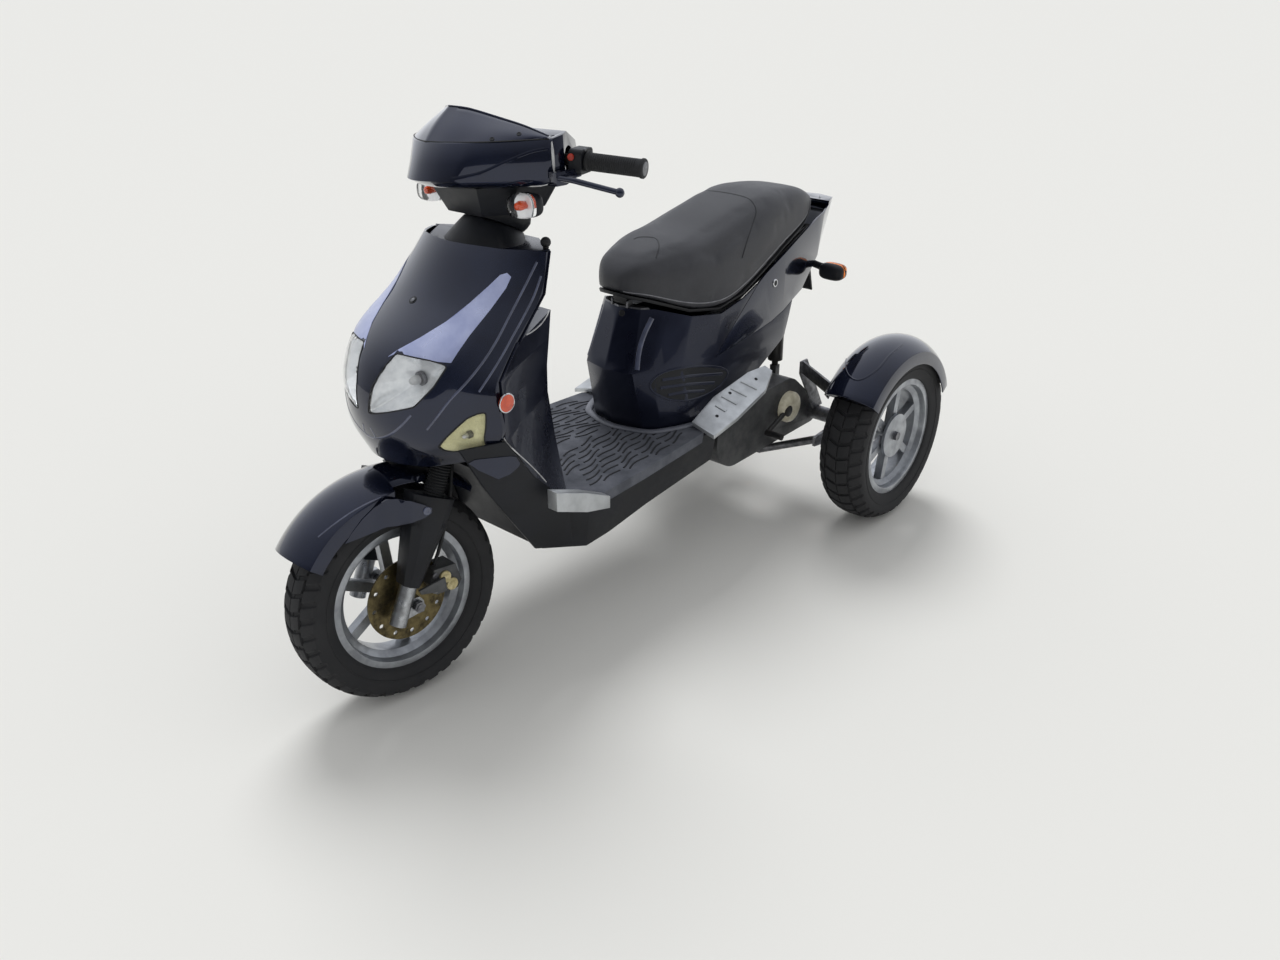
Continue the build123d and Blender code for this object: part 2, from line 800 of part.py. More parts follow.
# Inner leg shield: a shell open to the front, with a ledge over the glove box
# height, edge x and y, hump half width and back y
shield_foot = deck_top + seat_gap
pocket_rim = 775
shield_top = 930
shield_flange = 5


def apron_edge(height):
    # the apron's back edge at this height, where the leg shield's own edge meets it
    for low, high in zip(apron_sections, apron_sections[1:]):
        if low[0] <= height <= high[0]:
            share = (height - low[0]) / (high[0] - low[0])
            x = low[4] + share * (high[4] - low[4])
            y = low[5] + share * (high[5] - low[5])
            return x + shield_flange, y + apron_return + seat_gap


low_shield = [
    (shield_foot, 206, 330, 120, 402),
    (500, 222, 216, 112, 388),
    (600, *apron_edge(600), 100, 384),
    (660, *apron_edge(660), 97, 389),
    (715, *apron_edge(715), 95, 400),
    (pocket_rim, *apron_edge(pocket_rim), 92, 412),
]
high_shield = [
    (pocket_rim - panel, *apron_edge(pocket_rim), 84, 352),
    (850, *apron_edge(850), 80, 372),
    (shield_top, *apron_edge(shield_top), 84, 396),
]
pocket_half = 72
pocket_floor = 640
pocket_front = 306
pocket_mouth = 357
pocket_back = (376, 398)
shield_edge = 20
with BuildPart() as inner_shield:
    for sections in (low_shield, high_shield):
        for height, ex, ey, hx, hy in sections:
            with BuildSketch(level(height)):
                with BuildLine():
                    Polyline((-ex, ey), (-hx, hy), (hx, hy), (ex, ey), close=True)
                make_face()
        loft(ruled=True)
    for sections in (low_shield, high_shield):
        for height, ex, ey, hx, hy in sections:
            reach = ex - shield_edge
            top = height - panel if height in (pocket_rim, shield_top) else height
            with BuildSketch(level(top)):
                with BuildLine():
                    Polyline(
                        (-reach, ey - 2),
                        (-hx + panel, hy - panel),
                        (hx - panel, hy - panel),
                        (reach, ey - 2),
                        close=True,
                    )
                make_face()
        loft(ruled=True, mode=Mode.SUBTRACT)
    with BuildSketch(level(pocket_rim - 2 * panel)):
        with Locations((0, (pocket_mouth + pocket_back[1]) / 2)):
            Rectangle(2 * pocket_half, pocket_back[1] - pocket_mouth)
    extrude(amount=3 * panel, mode=Mode.SUBTRACT)
    with BuildSketch(level(shield_top - panel)):
        add(bonnet(226, 116, 270, 162, 336, 350))
        make_face()
    extrude(amount=panel)
    with BuildSketch(along_stem(head_high + 20, base=ground)):
        Circle(stem_radius + moving_gap)
    extrude(amount=200, mode=Mode.SUBTRACT)
inner_shield.part.label = "inner_shield"
export_step(inner_shield.part, "parts/inner_shield.step")

# Glove box behind the head tube, its rim under the shield's ledge
box_top = pocket_rim - panel - seat_gap
with BuildPart() as glove_box:
    with BuildSketch(side(0)):
        with BuildLine():
            Polyline(
                (pocket_front - bucket_wall, pocket_floor - bucket_wall),
                (pocket_back[0] + bucket_wall, pocket_floor - bucket_wall),
                (pocket_back[1] + bucket_wall, box_top),
                (pocket_front - bucket_wall, box_top),
                close=True,
            )
        make_face()
    extrude(amount=pocket_half + bucket_wall, both=True)
    with BuildSketch(side(0)):
        with BuildLine():
            Polyline(
                (pocket_front, pocket_floor),
                (pocket_back[0], pocket_floor),
                (pocket_back[1], box_top + 1),
                (pocket_front, box_top + 1),
                close=True,
            )
        make_face()
    extrude(amount=pocket_half, both=True, mode=Mode.SUBTRACT)
glove_box.part.label = "glove_box"
export_step(glove_box.part, "parts/glove_box.step")

# Small knob on the shield's top, at the rider's left hand
knob_place = (152, 349)
knob_radius = 10.5
with BuildPart() as park_knob:
    with BuildSketch(level(shield_top + seat_gap)):
        with Locations(knob_place):
            Circle(6)
    extrude(amount=12)
    with Locations(point_in(ground, (*knob_place, shield_top + 12))):
        Sphere(knob_radius)
park_knob.part.label = "park_knob"
export_step(park_knob.part, "parts/park_knob.step")

# Lower fairing cheeks between the lamps and the floor, one each side
foot_edge, knee_edge, lamp_edge = low_shield[0], low_shield[1], low_shield[2]
# height, front x and y, back x and y
cheek_sections = [
    (594, 176, 70, lamp_edge[1], lamp_edge[2]),
    (500, 190, 112, knee_edge[1], knee_edge[2]),
    (shield_foot, 164, 196, foot_edge[1], foot_edge[2]),
    (262, 140, 286, 192, 352),
]
cheek_inset = 6
with BuildPart() as front_cheeks:
    for height, fx, fy, bx, edge_y in cheek_sections:
        by = edge_y - 2 * seat_gap
        with BuildSketch(level(height)):
            with BuildLine():
                Polyline((fx, fy), (bx, by), (bx - cheek_inset, by), (fx - cheek_inset, fy), close=True)
            make_face()
    loft(ruled=True)
    mirror(about=side(0))
front_cheeks.part.label = "front_cheeks"
export_step(front_cheeks.part, "parts/front_cheeks.step")

# Floor between the leg shield and the seat tower, on feet that stand on the rails
# distance back, half width
deck_plan = [(360, 188), (394, 234), (560, 226), (800, 206), (884, 150)]
deck_low = deck_top - deck_thickness
rail_top = rail_z + rail_radius
foot_radius = 11
foot_places = (450, 760)
with BuildPart() as floorboard:
    with BuildSketch(level(deck_low)):
        with BuildLine():
            Polyline(*[(x, y) for y, x in deck_plan], *[(-x, y) for y, x in reversed(deck_plan)], close=True)
        make_face()
    extrude(amount=deck_thickness)
    with BuildSketch(level(rail_top + seat_gap)):
        for foot_y in foot_places:
            with Locations((rail_x, foot_y), (-rail_x, foot_y)):
                Circle(foot_radius)
    extrude(amount=deck_low - rail_top - seat_gap)
floorboard.part.label = "floorboard"
export_step(floorboard.part, "parts/floorboard.step")

# Belly pan: a channel under the floor, with the splash guard behind the front wheel
pan_wall = 4
pan_top = deck_low - seat_gap
pan_front = 308
# distance back, half width above, half width below, bottom height
pan_sections = [
    (pan_front, 176, 138, 252),
    (400, 205, 186, 236),
    (480, 205, 184, 238),
    (620, 200, 178, 252),
    (900, 178, 160, 262),
]
splash_radius = 306
splash_half = 136
splash_low = 4
splash_high = 44
with BuildPart() as belly_pan:
    for y, top_x, low_x, low_z in pan_sections:
        with BuildSketch(across(y)):
            with BuildLine():
                Polyline((-low_x, low_z), (low_x, low_z), (top_x, pan_top), (-top_x, pan_top), close=True)
            make_face()
    loft(ruled=True)
    for y, top_x, low_x, low_z in pan_sections:
        start = y + pan_wall if y == pan_front else y
        inner_low, inner_top = low_x - pan_wall, top_x - pan_wall
        inner_z = low_z + pan_wall
        with BuildSketch(across(start)):
            with BuildLine():
                Polyline(
                    (-inner_low, inner_z),
                    (inner_low, inner_z),
                    (inner_top, pan_top),
                    (-inner_top, pan_top),
                    close=True,
                )
            make_face()
    loft(ruled=True, mode=Mode.SUBTRACT)
    splash_plane = turned_section(splash_low, ground, 0, front_radius)
    with BuildSketch(splash_plane):
        with Locations((0, splash_radius + pan_wall / 2)):
            Rectangle(2 * splash_half, pan_wall)
    revolve(axis=Axis(splash_plane.origin, splash_plane.x_dir), revolution_arc=splash_high - splash_low)
    add(tube((0, *down_top), (0, *down_foot), down_radius + 2), mode=Mode.SUBTRACT)
belly_pan.part.label = "belly_pan"
export_step(belly_pan.part, "parts/belly_pan.step")

# Silver tread pieces: one at each front corner of the floor, one ramp at each rear corner
corner_outline = [(241, 462), (241, 418), (330, 380), (401, 361), (402, 390), (330, 426)]
corner_inner = 234 + seat_gap
corner_outer = 262
# distance back, inner x and z, outer x and z
ramp_sections = [
    (806, 168, 403, 238, 385),
    (900, 162, 438, 240, 404),
    (1045, 164, 462, 222, 428),
    (1104, 176, 466, 200, 458),
]
ramp_thickness = 10
with BuildPart() as foot_plates:
    with BuildSketch(side(corner_inner)):
        with BuildLine():
            Polyline(*corner_outline, close=True)
        make_face()
    extrude(amount=corner_outer - corner_inner)
    for y, ix, iz, ox, oz in ramp_sections:
        with BuildSketch(across(y)):
            with BuildLine():
                Polyline((ix, iz), (ox, oz), (ox, oz - ramp_thickness), (ix, iz - ramp_thickness), close=True)
            make_face()
    loft(ruled=True)
    mirror(about=side(0))
foot_plates.part.label = "foot_plates"
export_step(foot_plates.part, "parts/foot_plates.step")

# Side reflectors above the side lamps
reflector_radius = 18
reflector_place = (162, 676)
reflector_face = apron_edge(reflector_place[1] - reflector_radius)[0] + seat_gap
with BuildPart() as side_reflectors:
    for reflector_side in (1, -1):
        with BuildSketch(side(reflector_side * reflector_face)):
            with Locations(reflector_place):
                Circle(reflector_radius)
        extrude(amount=reflector_side * 6)
side_reflectors.part.label = "side_reflectors"
export_step(side_reflectors.part, "parts/side_reflectors.step")

# Rear bodywork: one plan loft from the floor to the tail, split into base and tail panels
body_low = 380
body_high = 830
body_middle = 540
# half width, distance back, from the nose round to the tail
low_plan = [
    (0, 704),
    (80, 722),
    (112, 750),
    (146, 830),
    (150, 930),
    (125, 1250),
    (80, 1400),
    (40, 1438),
    (0, 1442),
]
mid_plan = [
    (0, 672),
    (75, 689),
    (110, 730),
    (138, 800),
    (148, 930),
    (128, 1250),
    (92, 1440),
    (50, 1490),
    (0, 1500),
]
high_plan = [
    (0, 780),
    (40, 797),
    (84, 840),
    (118, 900),
    (132, 980),
    (124, 1250),
    (88, 1500),
    (52, 1598),
    (0, 1610),
]
tower_top = 684
base_outline = [
    (540, shield_foot),
    (860, shield_foot),
    (1011, 391),
    (1150, 443),
    (1270, 494),
    (1310, 583),
    (1293, 578.5),
    (1190, 555),
    (1052, 542),
    (922, 533.5),
    (1009, 599.5),
    (1118, 675.5),
    (1050, 654),
    (950, 640),
    (850, 656),
    (768, tower_top),
    (540, tower_top),
]
tail_outline = [
    (926, 535),
    (1052, 543.5),
    (1190, 556.5),
    (1293, 580),
    (1372, 597),
    (1465, 669),
    (1556, 735),
    (1612, 797),
    (1530, 793),
    (1450, 780),
    (1370, 760),
    (1250, 727),
    (1160, 694),
    (1122, 676),
    (1010, 598),
]


def body_blank(inset):
    with BuildPart() as blank:
        for height, plan in ((body_low, low_plan), (body_middle, mid_plan), (body_high, high_plan)):
            with BuildSketch(level(height)):
                with BuildLine():
                    Polyline(*plan, *[(-x, y) for x, y in reversed(plan[1:-1])], close=True)
                make_face()
                if inset:
                    offset(amount=-inset, kind=Kind.INTERSECTION)
        loft(ruled=True)
    return blank.part


body_outer = body_blank(0)
body_inner = body_blank(panel)
body_fit = body_blank(panel + seat_gap)
for body_name, outline in (("seat_base", base_outline), ("tail_sides", tail_outline)):
    with BuildPart() as body_shell:
        add(body_outer)
        with BuildSketch(side(0)):
            with BuildLine():
                Polyline(*outline, close=True)
            make_face()
        extrude(amount=200, both=True, mode=Mode.INTERSECT)
        add(body_inner, mode=Mode.SUBTRACT)
    body_shell.part.label = body_name
    export_step(body_shell.part, f"parts/{body_name}.step")

# Tail lamp between the tail panels, and the tail's top plate with two carrier holes
lamp_slab = [(1478, 700), (1490, 694), (1576, 772), (1544, 772)]
with BuildPart() as tail_lamp:
    add(body_fit)
    with BuildSketch(side(0)):
        with BuildLine():
            Polyline(*lamp_slab, close=True)
        make_face()
    extrude(amount=200, both=True, mode=Mode.INTERSECT)
tail_lamp.part.label = "tail_lamp"
export_step(tail_lamp.part, "parts/tail_lamp.step")

tail_plate_outline = [(1543, 794.4), (1543, 806), (1620, 808), (1620, 798)]
carrier_hole_y = 1556
carrier_hole_x = 30
carrier_hole_radius = 3.3
with BuildPart() as tail_top:
    add(body_outer)
    with BuildSketch(side(0)):
        with BuildLine():
            Polyline(*tail_plate_outline, close=True)
        make_face()
    extrude(amount=200, both=True, mode=Mode.INTERSECT)
    with BuildSketch(level(780)):
        with Locations((carrier_hole_x, carrier_hole_y), (-carrier_hole_x, carrier_hole_y)):
            Circle(carrier_hole_radius)
    extrude(amount=60, mode=Mode.SUBTRACT)
tail_top.part.label = "tail_top"
export_step(tail_top.part, "parts/tail_top.step")

# Storage bucket under the seat, its rim held inside the seat base
bucket_front = 768
bucket_back = 1060
bucket_floor = 455
bucket_rim = 630
rim_width = 60
with BuildPart() as storage_bucket:
    add(body_fit)
    with BuildSketch(side(0)):
        with BuildLine():
            Polyline(
                (bucket_front - 4, bucket_rim - bucket_wall),
                (bucket_back + 12, bucket_rim - bucket_wall),
                (bucket_back + 12, bucket_rim),
                (bucket_front - 4, bucket_rim),
                close=True,
            )
        make_face()
    extrude(amount=200, both=True, mode=Mode.INTERSECT)
    with BuildSketch(side(0)):
        with BuildLine():
            Polyline(
                (bucket_front + 30, bucket_floor),
                (bucket_back, bucket_floor),
                (bucket_back, bucket_rim),
                (bucket_front, bucket_rim),
                (bucket_front, bucket_rim - 60),
                close=True,
            )
        make_face()
    extrude(amount=bucket_half, both=True)
    with BuildSketch(side(0)):
        with BuildLine():
            Polyline(
                (bucket_front + 30 + bucket_wall, bucket_floor + bucket_wall),
                (bucket_back - bucket_wall, bucket_floor + bucket_wall),
                (bucket_back - bucket_wall, bucket_rim + 1),
                (bucket_front + bucket_wall, bucket_rim + 1),
                (bucket_front + bucket_wall, bucket_rim - 60),
                close=True,
            )
        make_face()
    extrude(amount=bucket_half - bucket_wall, both=True, mode=Mode.SUBTRACT)
storage_bucket.part.label = "storage_bucket"
export_step(storage_bucket.part, "parts/storage_bucket.step")

# Seat hinge: a bracket across the tower's top with two ears and their pin
ear_x = 22
ear_thickness = 5
ear_radius = 8
pin_radius = 4
hinge_back = seat_pivot[0] + 20
hinge_plate = 4
pivot_y, pivot_z = seat_pivot
with BuildPart() as seat_hinge:
    add(body_outer)
    with BuildSketch(side(0)):
        with BuildLine():
            Polyline(
                (600, tower_top + seat_gap),
                (hinge_back, tower_top + seat_gap),
                (hinge_back, tower_top + seat_gap + hinge_plate),
                (600, tower_top + seat_gap + hinge_plate),
                close=True,
            )
        make_face()
    extrude(amount=200, both=True, mode=Mode.INTERSECT)
    for ear_side in (1, -1):
        with BuildSketch(side(ear_side * ear_x)):
            with BuildLine():
                Polyline(
                    (pivot_y - 9, tower_top + 1),
                    (pivot_y + 14, tower_top + 1),
                    (pivot_y + 7, pivot_z + 2),
                    (pivot_y - 7, pivot_z + 2),
                    close=True,
                )
            make_face()
            with Locations(seat_pivot):
                Circle(ear_radius)
        extrude(amount=ear_side * ear_thickness)
    with BuildSketch(side(0)):
        with Locations(seat_pivot):
            Circle(pin_radius)
    extrude(amount=ear_x + ear_thickness, both=True)
seat_hinge.part.label = "seat_hinge"
export_step(seat_hinge.part, "parts/seat_hinge.step")

# Seat: a stiff pan with the hinge's knuckle, and the padded cushion on it
# distance back, half width, bottom, top
seat_stations = [
    (698, 24, 722, 762),
    (715, 54, 715, 786),
    (750, 84, 704, 808),
    (850, 126, 664, 828),
    (950, 140, 647, 840),
    (1050, 138, 661, 862),
    (1160, 132, 702, 882),
    (1250, 122, 735, 887),
    (1370, 102, 768, 872),
    (1450, 70, 788, 845),
    (1528, 22, 800, 816),
]
knuckle_half = ear_x - 0.5
with BuildPart() as seat_pan:
    for y, half, low, high in seat_stations:
        with BuildSketch(across(y)):
            with BuildLine():
                Polyline(
                    (-half + 6, low),
                    (half - 6, low),
                    (half - 2, low + seat_pan_thickness),
                    (-half + 2, low + seat_pan_thickness),
                    close=True,
                )
            make_face()
    loft(ruled=True)
    with BuildSketch(side(0)):
        with BuildLine():
            Polyline(
                (pivot_y - 6, pivot_z),
                (pivot_y + 6, pivot_z),
                (pivot_y + 8, pivot_z + 13),
                (pivot_y - 8, pivot_z + 18),
                close=True,
            )
        make_face()
        with Locations(seat_pivot):
            Circle(ear_radius - 1)
    extrude(amount=knuckle_half, both=True)
    with BuildSketch(side(0)):
        with Locations(seat_pivot):
            Circle(pin_radius + 0.1)
    extrude(amount=knuckle_half + 1, both=True, mode=Mode.SUBTRACT)
seat_pan.part.label = "seat_pan"
export_step(seat_pan.part, "parts/seat_pan.step")

with BuildPart() as seat_cushion:
    for y, half, low, high in seat_stations:
        foot = low + seat_pan_thickness + seat_gap
        rise = high - foot
        half_outline = [
            (half - 2, foot),
            (half, foot + 0.3 * rise),
            (half - 16, foot + 0.88 * rise),
            (0.45 * half, high),
        ]
        with BuildSketch(across(y)):
            with BuildLine():
                Polyline(*both_sides(half_outline), close=True)
            make_face()
    loft(ruled=True)
seat_cushion.part.label = "seat_cushion"
export_step(seat_cushion.part, "parts/seat_cushion.step")

# Engine: one plain block hung between the rails, with the drive case on its left
engine_left = 60
engine_right = -96
engine_front = 930
engine_back = 1230
engine_low = 190
hanger_z = 433
rail_rise = (hanger_z - rail_z) / (rail_shoulder[1] - rail_z)
hanger_y = rail_bend[0] + rail_rise * (rail_shoulder[0] - rail_bend[0])
hanger_radius = 12
engine_high = hanger_z - hanger_radius - seat_gap
with BuildPart() as engine_hanger:
    with BuildSketch(side(0)):
        with Locations((hanger_y, hanger_z)):
            Circle(hanger_radius)
    extrude(amount=rail_x - rail_radius - seat_gap, both=True)
engine_hanger.part.label = "engine_hanger"
export_step(engine_hanger.part, "parts/engine_hanger.step")

with BuildPart() as engine_block:
    with BuildSketch(side(engine_right)):
        with BuildLine():
            Polyline(
                (engine_front, engine_low + 50),
                (engine_front + 60, engine_low),
                (engine_back - 40, engine_low),
                (engine_back, engine_low + 50),
                (engine_back, engine_high - 70),
                (engine_back - 70, engine_high),
                (engine_front, engine_high),
                close=True,
            )
        make_face()
    extrude(amount=engine_left - engine_right)
engine_block.part.label = "engine_block"
export_step(engine_block.part, "parts/engine_block.step")

# Drive case: three bosses in line, the last one round the rear axle's tube
case_bosses = [(1010, 290, 85), (1240, 300, 80), (wheelbase, rear_radius, 36)]
case_inner = engine_left + seat_gap
case_outer = 160
shock_x = 84
shock_y = 1290
shock_foot = 392
with BuildPart() as drive_case:
    with BuildSketch(side(case_inner)):
        for y, z, r in case_bosses:
            with Locations((y, z)):
                Circle(r)
        make_hull()
    extrude(amount=case_outer - case_inner)
    with BuildSketch(level(300)):
        with Locations((shock_x, shock_y)):
            Rectangle(20, 20)
    extrude(amount=shock_foot - 300)
    with BuildSketch(side(0)):
        with Locations((wheelbase, rear_radius)):
            Circle(axle_tube_radius + running_gap)
    extrude(amount=2 * case_outer, mode=Mode.SUBTRACT)
drive_case.part.label = "drive_case"
export_step(drive_case.part, "parts/drive_case.step")

# Kick starter on the case, in one piece: boss, arm and pedal
kick_hub = (1223, 297)
kick_end = (1130, 262)
with BuildPart() as kick_lever:
    with BuildSketch(side(case_outer + seat_gap)):
        with Locations(kick_hub):
            Circle(16)
    extrude(amount=24)
    add(tube((case_outer + 16, *kick_hub), (case_outer + 18, *kick_end), 7))
    add(tube((case_outer + 14, *kick_end), (case_outer + 66, *kick_end), 9))
kick_lever.part.label = "kick_lever"
export_step(kick_lever.part, "parts/kick_lever.step")

# Rear axle tube with a spindle at each end, and its right-hand support plate on the engine
spindle_end = 444
with BuildPart() as rear_axle:
    with BuildSketch(wheel_face(0, wheelbase, rear_radius, ground)):
        Circle(axle_tube_radius)
    extrude(amount=axle_tube_half, both=True)
    with BuildSketch(wheel_face(0, wheelbase, rear_radius, ground)):
        Circle(spindle_radius)
    extrude(amount=spindle_end, both=True)
rear_axle.part.label = "rear_axle"
export_step(rear_axle.part, "parts/rear_axle.step")

plate_right = engine_right - 8 - seat_gap
with BuildPart() as axle_plate:
    with BuildSketch(side(plate_right)):
        with Locations((1130, 300)):
            Circle(60)
        with Locations((wheelbase, rear_radius)):
            Circle(36)
        make_hull()
    extrude(amount=8)
    with BuildSketch(side(plate_right - 1)):
        with Locations((wheelbase, rear_radius)):
            Circle(axle_tube_radius + running_gap)
    extrude(amount=20, mode=Mode.SUBTRACT)
axle_plate.part.label = "axle_plate"
export_step(axle_plate.part, "parts/axle_plate.step")

# Rear struts: a cross bar under the engine, an arm to each side and a plate round each axle end
strut_y = 1200
strut_bar_z = 165
strut_radius = 11
strut_plate_x = 288
strut_plate_outline = [
    (1186, 262),
    (1186, 236),
    (wheelbase - 24, rear_radius - 31),
    (wheelbase + 24, rear_radius - 31),
    (wheelbase + 30, rear_radius + 25),
    (wheelbase - 24, rear_radius + 33),
]
with BuildPart() as rear_struts:
    with BuildSketch(side(0)):
        with Locations((strut_y, strut_bar_z)):
            Circle(strut_radius)
    extrude(amount=110, both=True)
    for lug_x in (-70, 40):
        with BuildSketch(side(lug_x - 5)):
            with Locations((strut_y - 20, (strut_bar_z + engine_low) / 2)):
                Rectangle(40, engine_low - strut_bar_z - 2 * seat_gap)
        extrude(amount=10)
    for strut_side in (1, -1):
        add(
            tube(
                (strut_side * 106, strut_y, strut_bar_z),
                (strut_side * (strut_plate_x + 2), strut_y + 4, 250),
                strut_radius,
            )
        )
        with BuildSketch(side(strut_side * strut_plate_x)):
            with BuildLine():
                Polyline(*strut_plate_outline, close=True)
            make_face()
            with Locations((wheelbase, rear_radius)):
                Circle(axle_tube_radius + running_gap, mode=Mode.SUBTRACT)
        extrude(amount=strut_side * 8)
rear_struts.part.label = "rear_struts"
export_step(rear_struts.part, "parts/rear_struts.step")

# Rear mudguards, high over the wheels with deep skirts
rear_guard_radius = rear_radius + 41
rear_guard_ahead = 22
rear_guard_half = 77
rear_guard_drop = 66
rear_guard_x = track / 2 + 5
rear_guard_front_angle = 140
rear_guard_back_angle = 22
with BuildPart() as rear_guards:
    guard_y = wheelbase - rear_guard_ahead
    rear_guard_plane = turned_section(rear_guard_back_angle, ground, guard_y, rear_radius)
    with BuildSketch(rear_guard_plane):
        add(arch(rear_guard_half, rear_guard_radius, rear_guard_drop, guard_wall, rear_guard_x))
        make_face()
    revolve(
        axis=Axis(rear_guard_plane.origin, rear_guard_plane.x_dir),
        revolution_arc=rear_guard_front_angle - rear_guard_back_angle,
    )
    mirror(about=side(0))
rear_guards.part.label = "rear_guards"
export_step(rear_guards.part, "parts/rear_guards.step")

# Guard arms: an upright on the axle tube with a strip out to each mudguard
arm_x = 180
arm_thickness = 6
arm_low = rear_radius + 149
arm_high = arm_low + 36
guard_face = rear_guard_x - rear_guard_half - seat_gap
upright_outline = [
    (wheelbase - 104, arm_low),
    (wheelbase - 104, arm_high),
    (wheelbase - 72, arm_high),
    (wheelbase + 24, rear_radius + 19),
    (wheelbase - 24, rear_radius + 19),
]
with BuildPart() as guard_arms:
    with BuildSketch(side(arm_x - arm_thickness / 2)):
        with BuildLine():
            Polyline(*upright_outline, close=True)
        make_face()
        with Locations((wheelbase, rear_radius)):
            Circle(axle_tube_radius + running_gap, mode=Mode.SUBTRACT)
    extrude(amount=arm_thickness)
    with BuildSketch(level(arm_low)):
        with BuildLine():
            Polyline(
                (arm_x - 3, wheelbase - 94),
                (arm_x - 3, wheelbase - 86),
                (guard_face, wheelbase - 176),
                (guard_face, wheelbase - 186),
                close=True,
            )
        make_face()
    extrude(amount=arm_high - arm_low)
    mirror(about=side(0))
guard_arms.part.label = "guard_arms"
export_step(guard_arms.part, "parts/guard_arms.step")

# Rear shock absorber between the drive case and the tail frame
shock_top = 640
tail_slope = (tail_end[1] - tail_cross[1]) / (tail_end[0] - tail_cross[0])
shock_eye_z = tail_cross[1] + tail_slope * (shock_y - tail_cross[0])
with BuildPart() as rear_shock:
    with BuildSketch(level(shock_foot + seat_gap)):
        with Locations((shock_x, shock_y)):
            Circle(9)
    extrude(amount=shock_eye_z - shock_foot)
    with BuildSketch(level(shock_foot + 16)):
        with Locations((shock_x, shock_y)):
            Circle(21)
    extrude(amount=shock_top - shock_foot - 16)
    with BuildSketch(side(tail_tube_x + tail_tube_radius + seat_gap)):
        with Locations((shock_y, shock_eye_z)):
            Circle(13)
    extrude(amount=shock_x + 6 - tail_tube_x - tail_tube_radius)
rear_shock.part.label = "rear_shock"
export_step(rear_shock.part, "parts/rear_shock.step")

# Silencer on the right with its pipe from the engine
silencer_x = -170
silencer_z = 268
silencer_radius = 44
silencer_front = 1040
silencer_back = 1296
pipe_radius = 15
pipe_route = [
    (engine_right - seat_gap, 975, 250),
    (-150, 975, 250),
    (silencer_x, 990, 258),
    (silencer_x, silencer_front + 2, silencer_z),
]
with BuildPart() as silencer:
    with BuildSketch(across(silencer_back)):
        with Locations((silencer_x, silencer_z)):
            Circle(silencer_radius)
    extrude(amount=silencer_back - silencer_front)
    with BuildLine():
        pipe_line = FilletPolyline(*[point_in(ground, p) for p in pipe_route], radius=18)
    with BuildSketch(Plane(origin=pipe_line @ 0, z_dir=pipe_line % 0)):
        Circle(pipe_radius)
    sweep()
    with BuildSketch(side(plate_right - seat_gap)):
        with Locations((1190, silencer_z)):
            Rectangle(50, 40)
    extrude(amount=-30)
silencer.part.label = "silencer"
export_step(silencer.part, "parts/silencer.step")

# Rear indicators on stalks from the plate bracket
bracket_half = 66
rear_blinker_y = 1456
rear_blinker_z = 637
rear_blinker_inner = 112
rear_blinker_outer = 190
stalk_start = bracket_half + seat_gap
with BuildPart() as rear_blinkers:
    with BuildSketch(side(stalk_start)):
        with Locations((rear_blinker_y + 6, rear_blinker_z + 12)):
            Circle(9)
    extrude(amount=rear_blinker_inner + 4 - stalk_start)
    with BuildSketch(side(rear_blinker_inner)):
        with Locations((rear_blinker_y, rear_blinker_z)):
            RectangleRounded(56, 46, 14)
    extrude(amount=rear_blinker_outer - rear_blinker_inner, taper=5)
    mirror(about=side(0))
rear_blinkers.part.label = "rear_blinkers"
export_step(rear_blinkers.part, "parts/rear_blinkers.step")

# Plate bracket hung under the tail tubes, with two holes for a number plate
plate_outline = [(1390, 701), (1440, 719.6), (1450, 716), (1492, 560), (1488, 559), (1438, 706), (1392, 691)]
plate_hole_x = 50
plate_hole_radius = 3
with BuildPart() as plate_bracket:
    with BuildSketch(side(0)):
        with BuildLine():
            Polyline(*plate_outline, close=True)
        make_face()
    extrude(amount=bracket_half, both=True)
    with BuildSketch(across(1520)):
        with Locations((plate_hole_x, 600), (-plate_hole_x, 600)):
            Circle(plate_hole_radius)
    extrude(amount=60, mode=Mode.SUBTRACT)
plate_bracket.part.label = "plate_bracket"
export_step(plate_bracket.part, "parts/plate_bracket.step")
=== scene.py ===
import bpy
import bmesh
import json
import math
import random
from mathutils import Matrix, Vector
from mathutils.bvhtree import BVHTree
from mathutils.geometry import delaunay_2d_cdt

